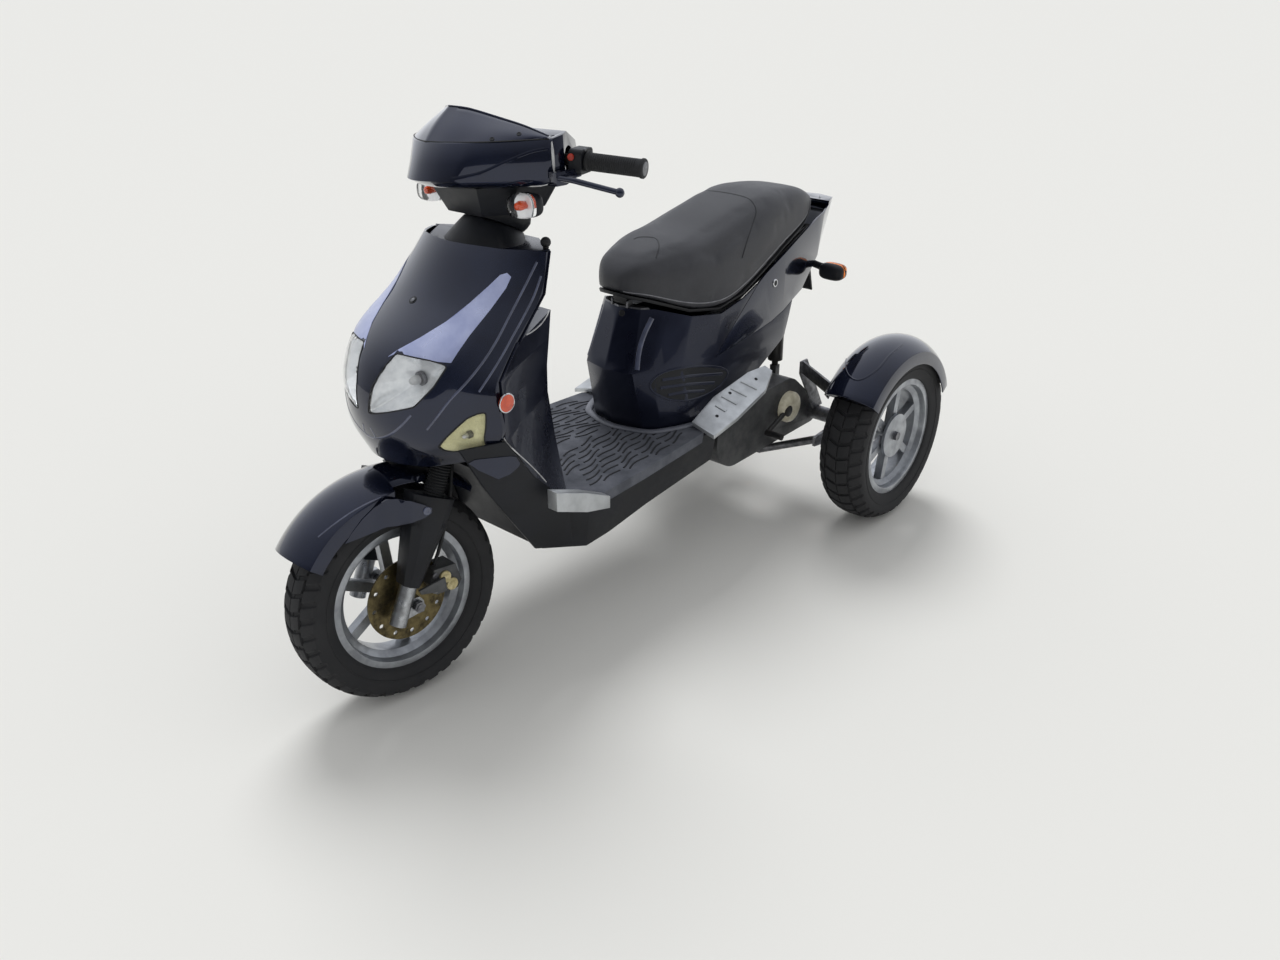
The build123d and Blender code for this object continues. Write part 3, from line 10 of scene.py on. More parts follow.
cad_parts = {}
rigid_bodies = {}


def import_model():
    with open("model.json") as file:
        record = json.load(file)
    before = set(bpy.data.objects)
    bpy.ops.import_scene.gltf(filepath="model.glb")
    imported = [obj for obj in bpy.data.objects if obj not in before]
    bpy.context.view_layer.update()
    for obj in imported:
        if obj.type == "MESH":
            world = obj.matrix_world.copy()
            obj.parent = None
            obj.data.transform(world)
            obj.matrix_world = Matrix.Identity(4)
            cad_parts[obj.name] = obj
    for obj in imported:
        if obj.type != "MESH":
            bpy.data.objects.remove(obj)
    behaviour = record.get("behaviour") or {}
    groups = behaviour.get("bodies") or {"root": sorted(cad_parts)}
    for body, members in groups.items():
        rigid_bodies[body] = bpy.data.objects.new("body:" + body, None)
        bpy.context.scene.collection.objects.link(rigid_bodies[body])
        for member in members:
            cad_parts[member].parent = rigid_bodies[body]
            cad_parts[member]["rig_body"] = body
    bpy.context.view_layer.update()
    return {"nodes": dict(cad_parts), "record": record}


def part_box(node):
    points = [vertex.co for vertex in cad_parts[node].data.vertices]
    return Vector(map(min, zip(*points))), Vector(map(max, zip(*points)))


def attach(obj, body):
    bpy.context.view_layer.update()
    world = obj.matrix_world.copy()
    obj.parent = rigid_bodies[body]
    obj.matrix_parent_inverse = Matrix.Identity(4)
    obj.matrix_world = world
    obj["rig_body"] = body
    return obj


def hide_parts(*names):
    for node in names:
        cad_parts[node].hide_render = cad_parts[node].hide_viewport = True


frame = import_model()
nodes = frame["nodes"]
scene = bpy.context.scene
print("frame loaded:", len(nodes), "nodes")

# where things are, in mm on the parked trike: x to the rider's left, y back from the front axle
place = {
    "middle": 691.5, "rake": 26, "parked": -7.5, "crown": 236,
    "rearAxle": 1376, "rearHeight": 243, "halfTrack": 395, "legs": 85,
}
rake = math.radians(place["rake"])
steerAxis = Vector((0, math.sin(rake), math.cos(rake)))
steerTurn = (
    Matrix.Translation((0, 0, place["crown"]))
    @ Matrix.Rotation(math.radians(place["parked"]), 4, steerAxis)
    @ Matrix.Translation((0, 0, -place["crown"]))
)
pair = ((1, "Left"), (-1, "Right"))
single = ((1, ""),)


def still(x, y, z):
    return Vector((x, y - place["middle"], z)) / 1000


def steered(x, y, z):
    p = steerTurn @ Vector((x, y, z))
    return still(p.x, p.y, p.z)


def alongStem(x, distance, back):
    y = distance * math.sin(rake) + back * math.cos(rake)
    return steered(x, y, place["crown"] + distance * math.cos(rake) - back * math.sin(rake))


def mirrored(points, side):
    return [Vector((side * p.x, p.y, p.z)) for p in points]


stemFoot = still(0, 0, place["crown"])
across = (steered(1, 0, place["crown"]) - stemFoot).normalized()  # to the steered wheel's left


# finishes
def hexColour(text):
    values = [int(text[i:i + 2], 16) / 255 for i in (1, 3, 5)]
    return [v / 12.92 if v <= 0.04045 else ((v + 0.055) / 1.055) ** 2.4 for v in values] + [1]


def addNode(tree, kind, settings=None, links=None):
    node = tree.nodes.new(kind)
    for key, value in (settings or {}).items():
        if isinstance(key, int) or key in node.inputs:
            node.inputs[key].default_value = value
        else:
            setattr(node, key, value)
    for key, source in (links or {}).items():
        tree.links.new(source, node.inputs[key])
    return node


# two colours, least and most roughness, patch and grain size in mm, bump height in mm, and the rest
finishes = {
    "vulcanisedRubber": ("#1c1d20", "#2a2a2c", 0.72, 0.9, 60, 2.5, 0.25, {}),  # dull, dusty in the grooves
    # cast wheel, fine sparkle under lacquer
    "silverLacquer": ("#a9adb2", "#8d9096", 0.32, 0.46, 40, 1.2, 0.05, {"metal": 0.8, "coat": 0.3}),
    "wornDiscSteel": ("#7d7150", "#4c4535", 0.3, 0.5, 18, 1.6, 0.08, {"metal": 1}),  # brassy film of brake dust
    "zincPlate": ("#8b8c8f", "#6a6a6e", 0.35, 0.55, 14, 2, 0.05, {"metal": 1}),  # greyish, spangled
    "turnedAluminium": ("#b9bcc0", "#8f9092", 0.22, 0.42, 22, 1.5, 0.04, {"metal": 1}),  # bright, dull rings of dust
    "chassisPaint": ("#131416", "#26231f", 0.38, 0.6, 35, 3, 0.12, {"coat": 0.2}),  # brushed-on black over steel
    # lacquered ABS, blue where it faces the sky
    "pearlBlackPaint": ("#0a0c16", "#121727", 0.1, 0.2, 160, 2.5, 0.012, {"coat": 0.8, "tint": "#97a4d6"}),
    # fine leathery grain, a soft sheen
    "mouldedPolypropylene": ("#121419", "#1b1d23", 0.4, 0.56, 70, 1.8, 0.14, {"shine": 0.3}),
    # nearly black, mirror-like
    "smokedAcrylic": ("#0a0d18", "#131728", 0.05, 0.12, 120, 4, 0.01, {"coat": 1.0, "tint": "#8c9bd8"}),
    "floorRubber": ("#5b5e67", "#484b53", 0.62, 0.8, 55, 2, 0.2, {}),  # walked-on grey mat
    "footMoulding": ("#6a6d78", "#5a5d66", 0.3, 0.42, 70, 2, 0.06, {}),  # grey moulding, wiped clean
    "treadGroove": ("#17181c", "#202126", 0.6, 0.75, 30, 2, 0.1, {}),  # near black, for the lines along the grey mat's ribs
    "gripRubber": ("#17181a", "#222326", 0.6, 0.78, 25, 1.5, 0.15, {}),  # soft, a little shiny where held
    "amberAcrylic": ("#dc4c12", "#bf3a09", 0.12, 0.25, 20, 3, 0.1, {"coat": 0.8}),  # prismatic orange reflector
    "rubyAcrylic": ("#a3121a", "#7d0b12", 0.08, 0.2, 30, 3, 0.08, {"coat": 0.8}),  # tail lamp red
    "ribbedAluminium": ("#c2c5c8", "#b0b3b6", 0.3, 0.46, 45, 2.2, 0.1, {"metal": 0.8}),  # scuffed silver foot plate
    "sandCastAluminium": ("#5c5d5e", "#434446", 0.45, 0.62, 60, 2.2, 0.3, {"metal": 0.5}),  # rough engine casting
    "exhaustSteel": ("#3b3a39", "#5a4b40", 0.42, 0.65, 45, 2, 0.1, {"metal": 0.7}),  # heat-browned black
    "grainedVinyl": ("#303136", "#3a3b40", 0.42, 0.56, 90, 2.4, 0.35, {"leather": True}),  # seat cover, pebbled
    "stiffPolymer": ("#16171a", "#202124", 0.5, 0.65, 60, 2, 0.12, {}),  # seat base moulding
    # lilac silver stripe under lacquer
    "swooshFoil": ("#b4bcdf", "#9fa8d0", 0.25, 0.38, 60, 1.5, 0.01, {"metal": 0.35, "coat": 0.6}),
    "pipingVinyl": ("#8b8c91", "#6f7076", 0.4, 0.5, 20, 2, 0.05, {}),  # welt round the seat, rubbed pale
    "paleTrim": ("#c9cacb", "#a8a9ab", 0.35, 0.55, 20, 2, 0.08, {}),  # bare plastic edge; on the glove pocket's rim, a painted highlight
    # unpainted ABS, polished by legs and hands
    "glossMoulding": ("#0e101b", "#151824", 0.24, 0.36, 120, 2.2, 0.03, {"coat": 0.25, "tint": "#9aa5d0"}),
    "yellowPassivate": ("#cbbf97", "#b0a478", 0.3, 0.48, 9, 1.5, 0.05, {"metal": 0.7}),  # zinc, straw-coloured dip
    "dialPrint": ("#e8e8e4", "#d4d4cf", 0.5, 0.6, 12, 2, 0.02, {}),  # matt white ink
    "chromePlate": ("#d9dadc", "#bfc1c4", 0.05, 0.14, 18, 3, 0.01, {"metal": 1}),  # mirror bright
    "agedBowl": ("#e6e6d6", "#d0d0bd", 0.2, 0.35, 14, 5, 0.5, {"metal": 0.1}),  # plating gone straw yellow
    "reflectorChrome": ("#f6f8fa", "#e2e5e9", 0.12, 0.24, 16, 6, 0.2, {"metal": 0.3}),  # vacuum-plated bowl
    "redPlastic": ("#b5301c", "#8f2416", 0.3, 0.45, 12, 2, 0.04, {}),  # starter button
    "darkMark": ("#121317", "#1b1c20", 0.45, 0.6, 12, 2, 0.05, {}),  # recess, seam and screw shadow
    "sideCrease": ("#4c526a", "#3a3f53", 0.18, 0.3, 40, 2, 0.02, {"coat": 0.8}),  # lit edge of a lacquered panel
    "agedEnamel": ("#e0dbc6", "#c6bfa6", 0.4, 0.55, 16, 2, 0.06, {}),  # cream drain cap
}
# polycarbonate lenses: tint by age or dye, roughness, and the light a thin moulding bends
lenses = {
    "clearPolycarbonate": ("#fbfcfd", 0.03), "yellowedPolycarbonate": ("#fbf9e6", 0.12),
    "amberPolycarbonate": ("#ff8a2a", 0.06),
}
lensLook = {"ior": 1.25, "haze": 40, "spread": 0.06, "shade": 0.9}
finished = {}


def lacquerOrCasting(t, shader, look):
    a, b, low, high, patchSize, grainSize, relief, rest = look
    sockets = {"Metallic": ("metal", 0), "Coat Weight": ("coat", 0), "Specular IOR Level": ("shine", 0.5)}
    for socket, (key, plain) in sockets.items():
        shader.inputs[socket].default_value = rest.get(key, plain)
    shader.inputs["Coat Roughness"].default_value = 0.04
    if "tint" in rest:
        shader.inputs["Specular Tint"].default_value = hexColour(rest["tint"])
    where = addNode(t, "ShaderNodeTexCoord").outputs["Object"]
    noise = {"Scale": 1000 / patchSize, "Detail": 5, "Roughness": 0.6}
    patch = addNode(t, "ShaderNodeTexNoise", noise, {"Vector": where}).outputs["Fac"]
    spread = addNode(t, "ShaderNodeMapRange", {"From Min": 0.36, "From Max": 0.64}, {"Value": patch})
    colours = {"data_type": "RGBA", 6: hexColour(a), 7: hexColour(b)}
    mix = addNode(t, "ShaderNodeMix", colours, {0: spread.outputs["Result"]})
    t.links.new(mix.outputs[2], shader.inputs["Base Color"])
    band = {"From Min": 0.3, "From Max": 0.7, "To Min": low, "To Max": high}
    rough = addNode(t, "ShaderNodeMapRange", band, {"Value": patch})
    t.links.new(rough.outputs["Result"], shader.inputs["Roughness"])
    if rest.get("leather"):
        pebbles = {"feature": "DISTANCE_TO_EDGE", "Scale": 1000 / grainSize}
        grain = addNode(t, "ShaderNodeTexVoronoi", pebbles, {"Vector": where}).outputs["Distance"]
        height = addNode(t, "ShaderNodeMapRange", {"From Max": 0.25}, {"Value": grain}).outputs["Result"]
    else:
        noise = {"Scale": 1000 / grainSize, "Detail": 3}
        height = addNode(t, "ShaderNodeTexNoise", noise, {"Vector": where}).outputs["Fac"]
    bump = addNode(t, "ShaderNodeBump", {"Strength": 0.6, "Distance": relief / 1000}, {"Height": height})
    t.links.new(bump.outputs["Normal"], shader.inputs["Normal"])


def clearMoulding(t, shader, look):
    tint, least = look
    shader.inputs["Transmission Weight"].default_value = 1
    shader.inputs["IOR"].default_value = lensLook["ior"]  # softer edges than a solid block
    where = addNode(t, "ShaderNodeTexCoord").outputs["Object"]
    haze = addNode(t, "ShaderNodeTexNoise", {"Scale": lensLook["haze"], "Detail": 4}, {"Vector": where}).outputs["Fac"]
    band = {"To Min": least, "To Max": least + lensLook["spread"]}
    rough = addNode(t, "ShaderNodeMapRange", band, {"Value": haze})
    t.links.new(rough.outputs["Result"], shader.inputs["Roughness"])
    darker = [lensLook["shade"] * c for c in hexColour(tint)[:3]] + [1]
    mix = addNode(t, "ShaderNodeMix", {"data_type": "RGBA", 6: hexColour(tint), 7: darker}, {0: haze})
    t.links.new(mix.outputs[2], shader.inputs["Base Color"])


def finish(name):
    if name not in finished:
        made = finished[name] = bpy.data.materials.new(name)
        made.use_nodes = True
        shader = made.node_tree.nodes["Principled BSDF"]
        if name in lenses:
            clearMoulding(made.node_tree, shader, lenses[name])
        else:
            lacquerOrCasting(made.node_tree, shader, finishes[name])
    return finished[name]


slotFinish = {
    "tyre_rubber": "vulcanisedRubber", "wheel_alloy": "silverLacquer", "disc_steel": "wornDiscSteel",
    "zinc_steel": "zincPlate", "fork_alloy": "turnedAluminium", "frame_steel": "chassisPaint",
    "gloss_black": "pearlBlackPaint", "satin_black": "mouldedPolypropylene", "dark_screen": "smokedAcrylic",
    "floor_grey": "floorRubber", "grip_rubber": "gripRubber", "clear_lens": "paleTrim", "red_lens": "rubyAcrylic",
    "orange_lens": "amberAcrylic", "tread_alloy": "ribbedAluminium", "engine_alloy": "sandCastAluminium",
    "silencer_steel": "exhaustSteel", "seat_vinyl": "grainedVinyl", "pan_plastic": "stiffPolymer",
}
slotOf = {p["node"]: p["material_slot"] for p in frame["record"]["subparts"]}
for name, node in nodes.items():
    node.data.materials.clear()
    node.data.materials.append(finish(slotFinish[slotOf[name]]))
print("finishes made and put on the nodes")


# mesh helpers
def smooth(mesh, angle):
    mesh.polygons.foreach_set("use_smooth", [True] * len(mesh.polygons))
    mesh.set_sharp_from_angle(angle=math.radians(angle))


def shown(name, data):
    made = bpy.data.objects.new(name, data)
    scene.collection.objects.link(made)
    return made


def addPiece(name, points, faces, body, slot, look=None, angle=38):
    # the look is a finish by name, or else the slot's own
    mesh = bpy.data.meshes.new(name)
    mesh.from_pydata([tuple(p) for p in points], [], faces)
    work = bmesh.new()
    work.from_mesh(mesh)
    bmesh.ops.recalc_face_normals(work, faces=work.faces)
    work.to_mesh(mesh)
    work.free()
    smooth(mesh, angle)
    mesh.materials.append(finish(look or slotFinish[slot]))
    piece = shown(name, mesh)
    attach(piece, body)
    return piece


def gridFaces(rows, columns, ringRows=False, ringColumns=False):
    faces = []
    for i in range(rows if ringRows else rows - 1):
        for j in range(columns if ringColumns else columns - 1):
            k, m = (i + 1) % rows, (j + 1) % columns
            faces.append([i * columns + j, i * columns + m, k * columns + m, k * columns + j])
    return faces


def cappedFaces(rows, columns):
    # rings joined to a tube, and closed at both ends
    ends = [list(range(columns)), list(range((rows - 1) * columns, rows * columns))]
    return gridFaces(rows, columns, False, True) + ends


def circle(count):
    return [(math.cos(2 * math.pi * k / count), math.sin(2 * math.pi * k / count)) for k in range(count)]


def curveThrough(points, steps, closed=False):
    # a Catmull-Rom line through the points, of any length
    n = len(points)
    line = []
    for i in range(n if closed else n - 1):
        a, b, c, d = (points[(i + k) % n if closed else min(max(i + k, 0), n - 1)] for k in (-1, 0, 1, 2))
        for u in (s / steps for s in range(steps)):
            line.append([
                0.5 * (2 * q + (r - p) * u + (2 * p - 5 * q + 4 * r - w) * u * u + (3 * q - p - 3 * r + w) * u ** 3)
                for p, q, r, w in zip(a, b, c, d)
            ])
    if not closed:
        line.append(list(points[-1]))
    return line


def rounded(points, radius, steps):
    # a loop whose corners are turned into short curves
    line = []
    for i, point in enumerate(points):
        p, a, b = Vector(point), Vector(points[i - 1]), Vector(points[(i + 1) % len(points)])
        r = min(radius, 0.45 * (a - p).length, 0.45 * (b - p).length)
        u, w = p + (a - p).normalized() * r, p + (b - p).normalized() * r
        for s in range(steps + 1):
            f = s / steps
            line.append(u * (1 - f) ** 2 + p * 2 * f * (1 - f) + w * f * f)
    return line


def tubeAlong(line, radius, sides=8, closed=False, flat=1.0, up=None):
    # points and faces of a tube; radius may be one number or one per point
    n, turns = len(line), circle(sides)
    points = []
    normal = Vector(up) if up else None
    for i, p in enumerate(line):
        ahead, behind = ((i + 1) % n, i - 1) if closed else (min(i + 1, n - 1), max(i - 1, 0))
        run = (line[ahead] - line[behind]).normalized()
        normal = normal or run.orthogonal()
        normal = (normal - run * normal.dot(run)).normalized()
        cross = run.cross(normal)
        r = radius[i] if hasattr(radius, "__len__") else radius
        points += [p + normal * (r * flat * c) + cross * (r * s) for c, s in turns]
    return points, gridFaces(n, sides, True, True) if closed else cappedFaces(n, sides)


def addTube(name, line, radius, body, slot, look=None, **shape):
    return addPiece(name, *tubeAlong(line, radius, **shape), body, slot, look)


def turnedPiece(name, profile, seat, axis, body, slot, look=None, sides=32):
    # profile of (distance along the axis, radius) in mm, turned about an axis from seat
    axis = Vector(axis).normalized()
    u = axis.orthogonal().normalized()
    w = axis.cross(u)
    points = []
    for along, radius in profile:
        centre, r = Vector(seat) + axis * (along / 1000), max(radius, 0.02) / 1000
        points += [centre + (u * c + w * s) * r for c, s in circle(sides)]
    return addPiece(name, points, cappedFaces(len(profile), sides), body, slot, look)


def treeOf(*objects):
    points, faces = [], []
    for o in objects:
        start = len(points)
        points += [v.co.copy() for v in o.data.vertices]
        faces += [[start + i for i in p.vertices] for p in o.data.polygons]
    return BVHTree.FromPolygons(points, faces)


# camera, fitted to the photograph's own frame of 1280 x 960
eye = {
    "azimuth": 41.16, "elevation": 27.18, "roll": -0.42, "lens": 29.98,
    "place": (1664.1, -1102.8, 1484.6), "focus": 1066, "middle": (640, 480),
}
a, e, r = (math.radians(eye[k]) for k in ("azimuth", "elevation", "roll"))
back = Vector((math.sin(a) * math.cos(e), -math.cos(a) * math.cos(e), math.sin(e)))
right = Vector((math.cos(a), math.sin(a), 0))
up = back.cross(right)
right, up = right * math.cos(r) + up * math.sin(r), up * math.cos(r) - right * math.sin(r)
eyePlace = still(*eye["place"])
camera = shown("camera", bpy.data.cameras.new("camera"))
camera.data.lens = eye["lens"]
camera.data.sensor_width = 36
camera.data.clip_end = 200
camera.matrix_world = Matrix.Translation(eyePlace) @ Matrix((right, up, back)).transposed().to_4x4()
scene.camera = camera


def wayTo(px, py):
    return (right * (px - eye["middle"][0]) + up * (eye["middle"][1] - py) - back * eye["focus"]).normalized()


def seen(tree, px, py):
    # the point and normal of a surface behind one pixel of the photograph
    way = wayTo(px, py)
    hit, normal = tree.ray_cast(eyePlace, way)[:2]
    if hit is None:
        return None
    return hit, normal if normal.dot(way) < 0 else -normal


def onSteeredPlane(px, py, reach):
    # where the ray of one pixel is reach mm to the side of the front wheel's middle
    way = wayTo(px, py)
    return eyePlace + way * ((reach / 1000 - (eyePlace - stemFoot).dot(across)) / way.dot(across))


def inside(point, outline):
    x, y = point
    odd = False
    for (ax, ay), (bx, by) in zip(outline, outline[1:] + outline[:1]):
        if (ay > y) != (by > y) and x < (bx - ax) * (y - ay) / (by - ay) + ax:
            odd = not odd
    return odd


def fillOutline(outline, step, holes=()):
    # clean triangles of an outline with holes, about step apart
    loops = [list(map(tuple, outline))] + [list(map(tuple, h)) for h in holes]
    points, edges = [], []
    for loop in loops:
        start = len(points)
        points += [Vector(p) for p in loop]
        edges += [(start + i, start + (i + 1) % len(loop)) for i in range(len(loop))]

    def covered(p):
        return inside(p, loops[0]) and not any(inside(p, h) for h in loops[1:])

    xs, ys = [p[0] for p in outline], [p[1] for p in outline]
    rim = list(points)
    y, row = min(ys) + step / 2, 0
    while y < max(ys):
        x = min(xs) + step * (0.25 + 0.5 * (row % 2))
        while x < max(xs):
            if covered((x, y)):
                p = Vector((x, y))
                if min((p - q).length_squared for q in rim) > (0.4 * step) ** 2:
                    points.append(p)
            x += step
        y += step * 0.87
        row += 1
    out, _, faces = delaunay_2d_cdt(points, edges, [], 0, 1e-5)[:3]
    faces = [list(f) for f in faces if covered(sum((out[i] for i in f), Vector((0, 0))) / len(f))]
    return [tuple(p) for p in out], faces


def slab(name, outer, inner, faces, body, slot, look=None, angle=38):
    # two like surfaces closed round their edges
    n = len(outer)
    edges = {edge: True for f in faces for edge in zip(f, f[1:] + f[:1])}
    walls = [[i, j, j + n, i + n] for i, j in edges if (j, i) not in edges]
    backs = [[i + n for i in reversed(f)] for f in faces]
    return addPiece(name, list(outer) + list(inner), faces + backs + walls, body, slot, look, angle)


def laid(name, pixels, tree, body, slot, look=None, step=6, thick=1.2, copies=pair):
    # a thin piece laid on the surface behind an outline of the photograph's pixels
    flat, faces = fillOutline(pixels, step)
    hits = [seen(tree, *p) for p in flat]
    faces = [f for f in faces if all(hits[i] for i in f)]
    used = sorted({i for f in faces for i in f})
    at = {i: k for k, i in enumerate(used)}
    faces = [[at[i] for i in f] for f in faces]
    outer = [hits[i][0] + hits[i][1] * (thick / 1000) for i in used]
    inner = [hits[i][0] - hits[i][1] * 0.0006 for i in used]
    for side, hand in copies:
        slab(name + hand, mirrored(outer, side), mirrored(inner, side), faces, body, slot, look)


def seenLine(name, pixels, tree, radius, body, slot, look=None, copies=pair, closed=False, flat=1.0):
    # a bead that follows a line of the photograph over the surface
    hits = [hit for hit in (seen(tree, *p) for p in curveThrough(pixels, 6, closed)) if hit]
    for side, hand in copies:
        line, normals = mirrored([h[0] for h in hits], side), mirrored([h[1] for h in hits[:1]], side)
        addTube(name + hand, line, radius / 1000, body, slot, look, closed=closed, flat=flat, up=normals[0])


def fitting(name, pixel, profile, tree, body, slot, look=None, sides=24, copies=single):
    # a small turned part on the surface behind one pixel of the photograph
    for side, hand in copies:
        turnedPiece(name + hand, profile, *mirrored(seen(tree, *pixel), side), body, slot, look, sides)


# mouldings and castings: edge radius in mm
edgeRadius = {
    "dash": 4, "neck": 5, "inner_shield": 5, "front_cheeks": 5, "floorboard": 3, "belly_pan": 5, "foot_plates": 4.5,
    "seat_base": 5, "tail_sides": 4, "tail_top": 2.2, "tail_lamp": 2, "fork_covers": 6, "front_guard": 1.6,
    "rear_guards": 1.6, "switch_pods": 4, "brake_levers": 1.2, "brake_caliper": 2.2, "drive_case": 5,
    "engine_block": 4, "silencer": 3, "plate_bracket": 1, "guard_arms": 1.2, "glove_box": 2, "kick_lever": 1.6,
    "axle_plate": 1.5, "seat_pan": 1.5, "storage_bucket": 2, "rear_shock": 1, "side_reflectors": 1.2,
    "front_rim": 1, "rear_left_rim": 1, "rear_right_rim": 1,
}
special = {"seat_base": "glossMoulding", "inner_shield": "glossMoulding", "brake_levers": "pearlBlackPaint"}
# weld in mm, and angles in degrees
moulding = {"weld": 0.02, "flat": 0.6, "sharp": 32, "shade": 42, "segments": 3}
shroud = {"top": 200, "shorter": 30}  # mm along the stem, so that the gaiters show


def softened(node, radius):
    # the node's own shape with its edges rounded as a moulding's are
    source = nodes[node]
    copy = source.data.copy()
    if "custom_normal" in copy.attributes:
        copy.attributes.remove(copy.attributes["custom_normal"])
    work = bmesh.new()
    work.from_mesh(copy)
    bmesh.ops.remove_doubles(work, verts=work.verts, dist=moulding["weld"] / 1000)
    flat = math.radians(moulding["flat"])
    bmesh.ops.dissolve_limit(work, angle_limit=flat, verts=work.verts, edges=work.edges)
    sharp = math.radians(moulding["sharp"])
    corners = [e for e in work.edges if len(e.link_faces) == 2 and e.calc_face_angle(0) > sharp]
    bmesh.ops.bevel(
        work, geom=corners, offset=radius / 1000, offset_type="OFFSET", segments=moulding["segments"],
        profile=0.5, affect="EDGES", clamp_overlap=True,
    )
    mesh = bpy.data.meshes.new(node + "Moulded")
    work.to_mesh(mesh)
    work.free()
    smooth(mesh, moulding["shade"])
    mesh.materials.clear()
    mesh.materials.append(finish(special.get(node, slotFinish[slotOf[node]])))
    piece = shown(node + "Moulded", mesh)
    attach(piece, source["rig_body"])
    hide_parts(node)
    return mesh


for node, radius in edgeRadius.items():
    mesh = softened(node, radius)
    if node == "tail_lamp":  # red only where it faces back
        mesh.materials.append(finish("footMoulding"))
        for face in mesh.polygons:
            face.material_index = 0 if face.normal.y > 0.45 else 1
    if node == "fork_covers":
        for vertex in mesh.vertices:
            if (vertex.co - stemFoot).dot(steerAxis) > shroud["top"] / 1000:
                vertex.co -= steerAxis * (shroud["shorter"] / 1000)
print("mouldings softened")

# tyres, with a block tread
tread = {
    "pitches": 38, "skew": 0.32, "depth": 5.5, "flank": 0.93, "round": 20, "lip": 164,
    "shares": [1.02, 0.97, 0.92, 0.91, 0.8, 0.7, 0.625, 0.615, 0.54, 0.53, 0.42, 0.3, 0.2, 0.105, 0.095, 0.03],
    "marks": [0, 0.03, 0.15, 0.3, 0.34, 0.375, 0.5, 0.535, 0.65, 0.74, 0.775, 0.88],
    # from and to as shares of the half width, then as shares of a pitch, and how deep
    "cuts": [
        (0.93, 1.02, -1, 0.34, 1), (0.62, 2, -1, 0.3, 1), (0.53, 2, -1, 2, 1), (0.1, 2, 0.5, 0.76, 1),
        (-1, 2, 0.5, 0.76, 0.8),
    ],
}
rear = {"radius": 243, "width": 130, "half": 52}
tyres = [
    dict(name="frontTyre", node="front_tyre", body="front_wheel", side=0, radius=236, width=120, half=46),
    dict(name="rearLeftTyre", node="rear_left_tyre", body="rear_left_wheel", side=1, **rear),
    dict(name="rearRightTyre", node="rear_right_tyre", body="rear_right_wheel", side=-1, **rear),
]


def wheelPoint(side, x, y, z):
    if side == 0:
        return steered(x, y, place["crown"] + z)
    return still(side * (place["halfTrack"] + x), place["rearAxle"] + y, place["rearHeight"] + z)


def treadDepth(u, x, half):
    # how much of the tread is cut away at this part of a pitch and this way across
    start, end, depth = next(cut[2:] for cut in tread["cuts"] if cut[0] < abs(x) / half < cut[1])
    return depth if start < u < end or x == 0 else 0


for tyre in tyres:
    half, top, bead, lip = tyre["width"] / 2, tyre["radius"], tyre["half"], tread["lip"]
    flank = half * tread["flank"]
    # sidewall from the rim up to the shoulder, then the tread
    wall = curveThrough([
        (bead - 5, lip - 4), (bead - 1, lip), (bead + 5, lip + 6),
        (half - 2, top - 48), (half, top - 36), (half - 1, top - 26),
    ], 3)
    crown = [(s * half * tread["flank"], top - tread["round"] * (min(s, 1) ** 3.2)) for s in tread["shares"]]
    profile = wall + crown + [(0, top)] + [(-x, z) for x, z in reversed(crown)] + [(-x, z) for x, z in reversed(wall)]
    points = []
    for pitch in range(tread["pitches"]):
        for u in tread["marks"]:
            for i, (x, z) in enumerate(profile):
                if len(wall) <= i < len(profile) - len(wall):
                    z -= treadDepth(u, x, flank) * tread["depth"]
                lean = 2 * tread["skew"] * (abs(x) / half) ** 1.2
                angle = 2 * math.pi * (pitch + u + lean) / tread["pitches"]
                points.append(wheelPoint(tyre["side"], x, z * math.sin(angle), z * math.cos(angle)))
    faces = gridFaces(tread["pitches"] * len(tread["marks"]), len(profile), True, True)
    piece = addPiece(tyre["name"], points, faces, tyre["body"], "tyre_rubber", angle=30)
    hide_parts(tyre["node"])
    for side, way in ((1, "Out"), (-1, "In")):  # fine moulded rings on the sidewall
        ring = [wheelPoint(tyre["side"], side * (half - 2.6), (top - 50) * s, (top - 50) * c) for c, s in circle(96)]
        addTube(f"{tyre['name']}Ring{way}", ring, 0.0016, tyre["body"], "tyre_rubber", closed=True, sides=6)
print("tyres made")

# front apron: one smooth shell with four lamp openings
apron = {
    # height, nose y, shoulder x and y, edge x and y
    "sections": [
        (545, 12, 108, 52, 150, 124), (600, -9, 144, 44, 208, 148), (660, -18, 144, 44, 208, 150),
        (715, -7, 151, 60, 198, 156), (775, 34, 154, 98, 186, 218), (850, 142, 146, 196, 176, 306),
        (945, 226, 120, 268, 170, 336),
    ],
    "thick": 4, "step": 9, "soften": 7, "return": 8.4, "crest": 14,
}
lampOutlines = {
    "headlamps": [(16, 657), (42, 663), (112, 684), (138, 722), (150, 760), (120, 768), (50, 774), (24, 712)],
    "side_lamps": [(142, 600), (150, 585), (178, 580), (190, 590), (196, 628), (194, 664), (176, 656)],
}


def sectionAt(z):
    rows = apron["sections"]
    z = min(max(z, rows[0][0]), rows[-1][0])
    i = max(k for k in range(len(rows) - 1) if rows[k][0] <= z)
    a, b, c, d = (rows[min(max(i + k, 0), len(rows) - 1)] for k in (-1, 0, 1, 2))
    u = (z - b[0]) / (c[0] - b[0])
    values = []
    for k in range(1, 6):
        slopeIn = (c[k] - a[k]) / max(c[0] - a[0], 1) * (c[0] - b[0])
        slopeOut = (d[k] - b[k]) / max(d[0] - b[0], 1) * (c[0] - b[0])
        values.append(
            b[k] * (2 * u ** 3 - 3 * u ** 2 + 1) + c[k] * (3 * u ** 2 - 2 * u ** 3)
            + slopeIn * (u ** 3 - 2 * u ** 2 + u) + slopeOut * (u ** 3 - u ** 2)
        )
    return values


